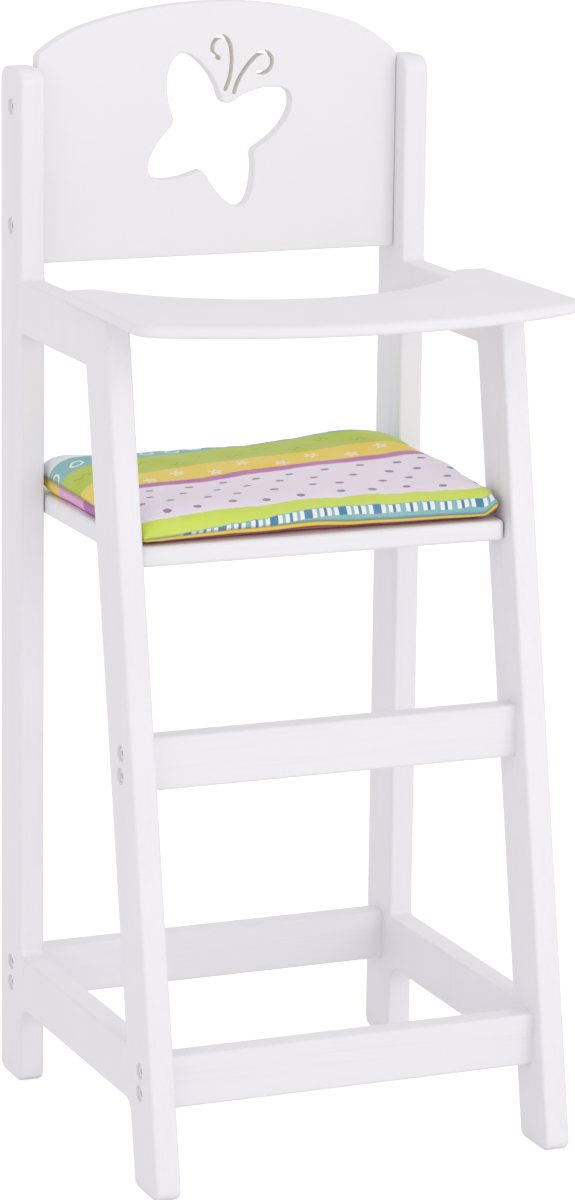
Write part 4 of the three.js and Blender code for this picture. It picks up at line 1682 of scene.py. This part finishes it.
@dataclass(frozen=True)
class Hill:
    """A soft hill or dent in the filling, placed by shares of the half width and the half depth."""

    height: float
    across: float
    along: float
    width: float
    depth: float

    def lift(self, u: float, v: float) -> float:
        """How much it raises the cushion at a place."""
        across = (u - self.across) / self.width
        along = (v - self.along) / self.depth
        return self.height * math.exp(-across ** 2 - along ** 2)


def between(stops: Stops, place: float) -> float:
    """Reads a height from stops along a line, easing from one to the next.

    Args:
        stops: Places in rising order, each with its height.
        place: Where to read.

    Returns:
        The height there.
    """
    for (start, low), (end, high) in zip(stops, stops[1:]):
        if place <= end:
            share = max(0.0, (place - start) / (end - start))
            return low + (high - low) * share * share * (3 - 2 * share)
    return stops[-1][1]


@dataclass
class Cushion:
    """The loose cushion: two sewn panels round a filling that has slid back and to the right."""

    node: str = "seat_cushion"
    rear_crown: float = 18.9
    front_crown: float = 16.1
    rear_seam: float = 8.2
    side_seam: float = 6.6
    front_seam: Stops = ((-1, 2.5), (-0.4, 4.5), (-0.05, 5.3), (0.2, 4), (0.5, 3.5), (0.9, 2.8), (1, 7.5))
    front_share: float = 0.45
    hills: tuple[Hill, ...] = (
        Hill(5.5, 0.7, 0.75, 0.35, 0.6),
        Hill(2.4, 0.95, 0.1, 0.4, 0.5),
        Hill(2.2, 0.97, -0.3, 0.25, 0.25),
        Hill(0.6, 0.0, 0.85, 0.5, 0.4),
        Hill(2.0, -1.0, 0.95, 0.2, 0.35),
        Hill(-2.0, -0.5, -0.1, 0.4, 0.5),
    )
    draw_in: Vector = field(default_factory=lambda: Vector((1.0, 1.5)))
    corner_pull: float = 0.02
    rear_give: float = 3.0
    top_across: tuple[float, float] = (18.0, 0.38)
    top_along: tuple[float, float] = (7.0, 0.36)
    bottom_across: tuple[float, float] = (60.0, 0.3)
    bottom_along: tuple[float, float] = (9.0, 0.45)
    pucker: float = 1.3
    pucker_reach: float = 11.0
    pucker_pitch: float = 7.0
    dimple: float = 0.8
    dimple_pitch: float = 30.0
    noise_places: tuple[float, float, float] = (3.1, 7.7, 1.7)
    columns: int = 96
    rows: int = 76
    askew: float = 0.17
    askew_shares: Stops = ((0, 0.5), (13, 0.3), (60, 1.0))
    straight_from: float = 20.0
    askew_ease: float = 15.0
    seam_pinch: float = 0.5
    swell_cap: float = 1.2
    side_room: float = 97.2
    pressure: float = 4.0
    frames: int = 20

    def __post_init__(self) -> None:
        """Reads the cushion's place from the frame."""
        self.box = Box.of(self.node)

    def seam_height(self, u: float, v: float) -> float:
        """How high the seam runs above the seat."""
        ahead = min(1.0, max(0.0, (self.front_share - 1 - v) / self.front_share))
        ahead = ahead * ahead * (3 - 2 * ahead)
        behind = self.side_seam + (self.rear_seam - self.side_seam) * max(0.0, v)
        return between(self.front_seam, u) * ahead + behind * (1 - ahead)

    @staticmethod
    def fullness(place: float, powers: tuple[float, float]) -> float:
        """How full the cushion is along one of its ways, from 0 on the seam to 1 inside."""
        reach, edge = powers
        return max(0.0, 1 - abs(place) ** reach) ** edge

    def creases(self, x: float, y: float) -> float:
        """The small puckers along the seams and the shallow dimples between them."""
        aside = min(x - self.box.low.x, self.box.high.x - x)
        ahead = min(y - self.box.low.y, self.box.high.y - y)
        ends_at, sides_at, dimples_at = self.noise_places
        ends = noise(Vector((x / self.pucker_pitch, ends_at, 0.0)))
        sides = noise(Vector((sides_at, y / self.pucker_pitch, 0.0)))
        ripples = math.exp(-ahead / self.pucker_reach) * ends + math.exp(-aside / self.pucker_reach) * sides
        dimples = noise(Vector((x / self.dimple_pitch, y / self.dimple_pitch, dimples_at)))
        return self.pucker * ripples + self.dimple * dimples

    def point(self, u: float, v: float, on_top: bool) -> Vector:
        """A point of the cushion before it is inflated.

        Args:
            u: From -1 at the left to 1 at the right.
            v: From -1 at the front to 1 at the rear.
            on_top: Whether it is on the top panel.

        Returns:
            The point, in millimetres.
        """
        size, middle = self.box.size, self.box.middle
        pull = 1 - self.corner_pull * (u * v) ** 8 if v < 0 else 1.0
        give = self.rear_give * max(0.0, v) ** 2 * max(0.0, -u) ** 3
        x = middle.x + (size.x / 2 - self.draw_in.x * (1 - v * v)) * u * pull
        y = middle.y + (size.y / 2 - self.draw_in.y * (1 - u * u) + give) * v * pull
        seam = self.seam_height(u, v)
        if on_top:
            crown = self.front_crown + (self.rear_crown - self.front_crown) * (1 + v) / 2
            crown += sum(hill.lift(u, v) for hill in self.hills) + self.creases(x, y)
            across, along = self.fullness(u, self.top_across), self.fullness(v, self.top_along)
            height = seam + (crown - seam) * across * along
        else:
            height = seam * (1 - self.fullness(u, self.bottom_across) * self.fullness(v, self.bottom_along))
        return Vector((x, y, self.box.low.z + height))

    def grid(self, on_top: bool) -> list[list[Vector]]:
        """The points of one panel, row by row from the front."""
        def spread(index: int, count: int) -> float:
            return math.sin((index / count - 0.5) * math.pi)

        return [[self.point(spread(column, self.columns), spread(row, self.rows), on_top)
                 for column in range(self.columns + 1)] for row in range(self.rows + 1)]

    def cloth_places(self, grid: list[list[Vector]], on_top: bool) -> list[list[Vector]]:
        """Lays a panel out flat, as its cloth was cut.

        Args:
            grid: The panel's points.
            on_top: Whether it is the top panel, whose stripes run askew on the left.

        Returns:
            A UV place for every point.
        """
        places = []
        along = [0.0] * (self.columns + 1)
        for row, points in enumerate(grid):
            steps = [after - before for before, after in zip(points, points[1:])]
            lengths = [step.length if abs(step.z) > abs(step.x) else abs(step.x) for step in steps]
            across = -sum(lengths[:self.columns // 2])
            line = []
            for column, point in enumerate(points):
                if column:
                    across += lengths[column - 1]
                if row:
                    along[column] += (point - grid[row - 1][column]).length
                far = -along[column]
                if on_top:
                    aside = max(0.0, self.straight_from - point.x)
                    shift = self.askew * aside ** 2 / (aside + self.askew_ease)
                    far = along[column] + shift * between(self.askew_shares, along[column])
                line.append(Vector((0.5 + across / CLOTH_UNIT, SEAM_V + far / CLOTH_UNIT)))
            places.append(line)
        return places

    def mesh(self, material: Material) -> Piece:
        """Sews the two panels together.

        Args:
            material: The cloth.

        Returns:
            The cushion before it is inflated.
        """
        mesh = bmesh.new()
        uv_layer = mesh.loops.layers.uv.new("cloth")
        seam_layer = mesh.verts.layers.float.new("seam")
        rim: dict[tuple[int, int], bmesh.types.BMVert] = {}
        for on_top in (True, False):
            grid = self.grid(on_top)
            places = self.cloth_places(grid, on_top)
            verts = []
            for row, points in enumerate(grid):
                line = []
                for column, point in enumerate(points):
                    edge = row in (0, self.rows) or column in (0, self.columns)
                    vertex = rim.get((row, column)) if edge else None
                    if vertex is None:
                        vertex = mesh.verts.new(point * MM)
                        vertex[seam_layer] = float(edge)
                    if edge:
                        rim[(row, column)] = vertex
                    line.append(vertex)
                verts.append(line)
            for row in range(self.rows):
                for column in range(self.columns):
                    spots = ((row, column), (row, column + 1), (row + 1, column + 1), (row + 1, column))
                    face = mesh.faces.new([verts[r][c] for r, c in spots])
                    for loop, (r, c) in zip(face.loops, spots):
                        loop[uv_layer].uv = places[r][c]
                    if not on_top:
                        face.normal_flip()
        bmesh.ops.recalc_face_normals(mesh, faces=mesh.faces)
        piece = to_object("striped_cushion", mesh)
        piece.data.materials.append(material)
        return piece

    def inflate(self, piece: Piece) -> None:
        """Fills the cover by a cloth simulation and limits how far it moves."""
        rest = [vertex.co.copy() for vertex in piece.data.vertices]
        cloth = piece.modifiers.new("filling", "CLOTH")
        settings = {"quality": 6, "mass": 0.2, "use_pressure": True,
                    "uniform_pressure_force": self.pressure, "tension_stiffness": 20.0,
                    "compression_stiffness": 20.0, "shear_stiffness": 8.0, "bending_stiffness": 0.3}
        for name, value in settings.items():
            setattr(cloth.settings, name, value)
        cloth.settings.effector_weights.gravity = 0.0
        cloth.point_cache.frame_start = 1
        cloth.point_cache.frame_end = self.frames
        scene = bpy.context.scene
        for number in range(1, self.frames + 1):
            scene.frame_set(number)
        settle(piece)
        scene.frame_set(1)
        farthest = 0.0
        for vertex, start in zip(piece.data.vertices, rest):
            move = vertex.co - start
            farthest = max(farthest, move.length)
            limit = self.swell_cap * MM
            vertex.co = start + move * (limit / (limit + move.length))
        log.info("the filling moved the cover by %.1f mm at most", farthest / MM)

    def confine(self, piece: Piece) -> None:
        """Keeps the cover on the seat and between the side frames."""
        room = self.side_room * MM
        for vertex in piece.data.vertices:
            vertex.co.z = max(vertex.co.z, self.box.low.z * MM)
            vertex.co.x = min(room, max(-room, vertex.co.x))

    def pinch(self, piece: Piece) -> None:
        """Draws the seam in."""
        depth = self.seam_pinch * MM
        seam = piece.data.attributes["seam"].data
        moves = [vertex.normal * depth * seam[vertex.index].value for vertex in piece.data.vertices]
        for vertex, move in zip(piece.data.vertices, moves):
            vertex.co -= move

    def build(self, material: Material) -> None:
        """Makes the cushion.

        Args:
            material: The cloth.
        """
        piece = self.mesh(material)
        self.inflate(piece)
        piece.data.shade_smooth()
        fine = piece.modifiers.new("fine", "SUBSURF")
        fine.levels = fine.render_levels = 1
        settle(piece)
        self.pinch(piece)
        self.confine(piece)
        report(piece, CUSHION, [self.node])


@dataclass(frozen=True)
class SoftLight:
    """A large square lamp that faces the chair."""

    name: str
    place: Vector
    size: float
    power: float

    def add(self, aim: Vector) -> None:
        """Sets the lamp up, turned to a point."""
        lamp = bpy.data.lights.new(self.name, "AREA")
        lamp.size = self.size
        lamp.energy = self.power
        holder = link(self.name, lamp)
        holder.location = self.place
        holder.rotation_euler = (aim - self.place).to_track_quat("-Z", "Y").to_euler()


@dataclass
class Studio:
    """The camera, the pale floor and the soft light. Lengths are in metres."""

    camera_place: Vector = field(default_factory=lambda: Vector((-0.90328, -2.12647, 0.79609)))
    yaw: float = math.radians(22.993)
    pitch: float = math.radians(12.911)
    roll: float = math.radians(0.753)
    focal_share: float = 4765.07 / 1200
    sensor: float = 36.0
    floor_size: float = 60.0
    floor_colour: Colour = (0.88, 0.88, 0.89)
    floor_glow: float = 0.04
    floor_white: float = 0.36
    sky: float = 0.85
    aim_height: float = 0.3
    lights: tuple[SoftLight, ...] = (
        SoftLight("front_light", Vector((1.2, -2.5, 1.15)), 1.6, 13.0),
        SoftLight("left_light", Vector((-2.4, -1.6, 1.0)), 1.6, 4.0),
    )

    def add_camera(self) -> None:
        """Sets the camera at the photograph's view."""
        camera = bpy.data.cameras.new("camera")
        camera.sensor_width = self.sensor
        camera.lens = self.focal_share * self.sensor
        camera.clip_end = 100.0
        holder = link("camera", camera)
        holder.matrix_world = (Matrix.Translation(self.camera_place) @ Matrix.Rotation(-self.yaw, 4, "Z")
                               @ Matrix.Rotation(math.pi / 2 - self.pitch, 4, "X")
                               @ Matrix.Rotation(self.roll, 4, "Z"))
        bpy.context.scene.camera = holder

    def add_floor(self) -> None:
        """Lays a pale floor that glows a little, and looks white to the camera."""
        half = self.floor_size / 2
        data = bpy.data.meshes.new("floor")
        data.from_pydata([(-half, -half, 0), (half, -half, 0), (half, half, 0), (-half, half, 0)], [],
                         [(0, 1, 2, 3)])
        material, graph, shader = new_material("floor_paper", specular=0.1)
        seen = graph.node("ShaderNodeLightPath").outputs["Is Camera Ray"]
        glow = graph.plus(graph.times(seen, self.floor_white), self.floor_glow)
        feed(graph, shader, Emission_Strength=glow)
        shader.inputs["Base Color"].default_value = (*self.floor_colour, 1.0)
        shader.inputs["Emission Color"].default_value = (1.0, 1.0, 1.0, 1.0)
        shader.inputs["Roughness"].default_value = 0.9
        data.materials.append(material)
        floor = link("floor", data)

    def add_sky(self) -> None:
        """Lights the chair evenly from all round, and shows white behind it."""
        world = bpy.data.worlds.new("white_studio")
        world.use_nodes = True
        graph = Graph(world.node_tree)
        background = world.node_tree.nodes["Background"]
        seen = graph.node("ShaderNodeLightPath").outputs["Is Camera Ray"]
        strength = graph.plus(graph.times(seen, 1.0 - self.sky), self.sky)
        background.inputs["Color"].default_value = (1.0, 1.0, 1.0, 1.0)
        world.node_tree.links.new(strength, background.inputs["Strength"])
        bpy.context.scene.world = world

    def build(self) -> None:
        """Sets up the studio."""
        self.add_camera()
        self.add_floor()
        self.add_sky()
        for light in self.lights:
            light.add(Vector((0, 0, self.aim_height)))
        bpy.context.scene.view_settings.view_transform = "Standard"
        bpy.context.scene.view_settings.look = "None"


def main() -> None:
    """Builds the studio and every piece of the chair."""
    logging.basicConfig(level=logging.INFO, format="%(name)s: %(message)s")
    Studio().build()
    groups = Groups()
    finishes = Finishes(
        side=Paint("white_paint_upright", Grain.ALONG_Z).material(groups),
        rail=Paint("white_paint_level", Grain.ALONG_X).material(groups),
        smooth=Paint("white_paint_smooth", Grain.NONE).material(groups),
        bare=CUT_FIBRES.material(),
    )
    for word in SIDES:
        SideFrame(word).build(finishes)
    for node in ("footrest_rail", "front_lower_rail", "rear_lower_rail"):
        CrossRail(node).build(finishes)
    BackPanel().build(finishes)
    Tray().build(finishes)
    SeatBoard().build(finishes)
    Screws().build(ZINC.material())
    Dowels().build(Beech().material(groups))
    Cushion().build(Cotton().material(groups))


if __name__ == "__main__":
    main()
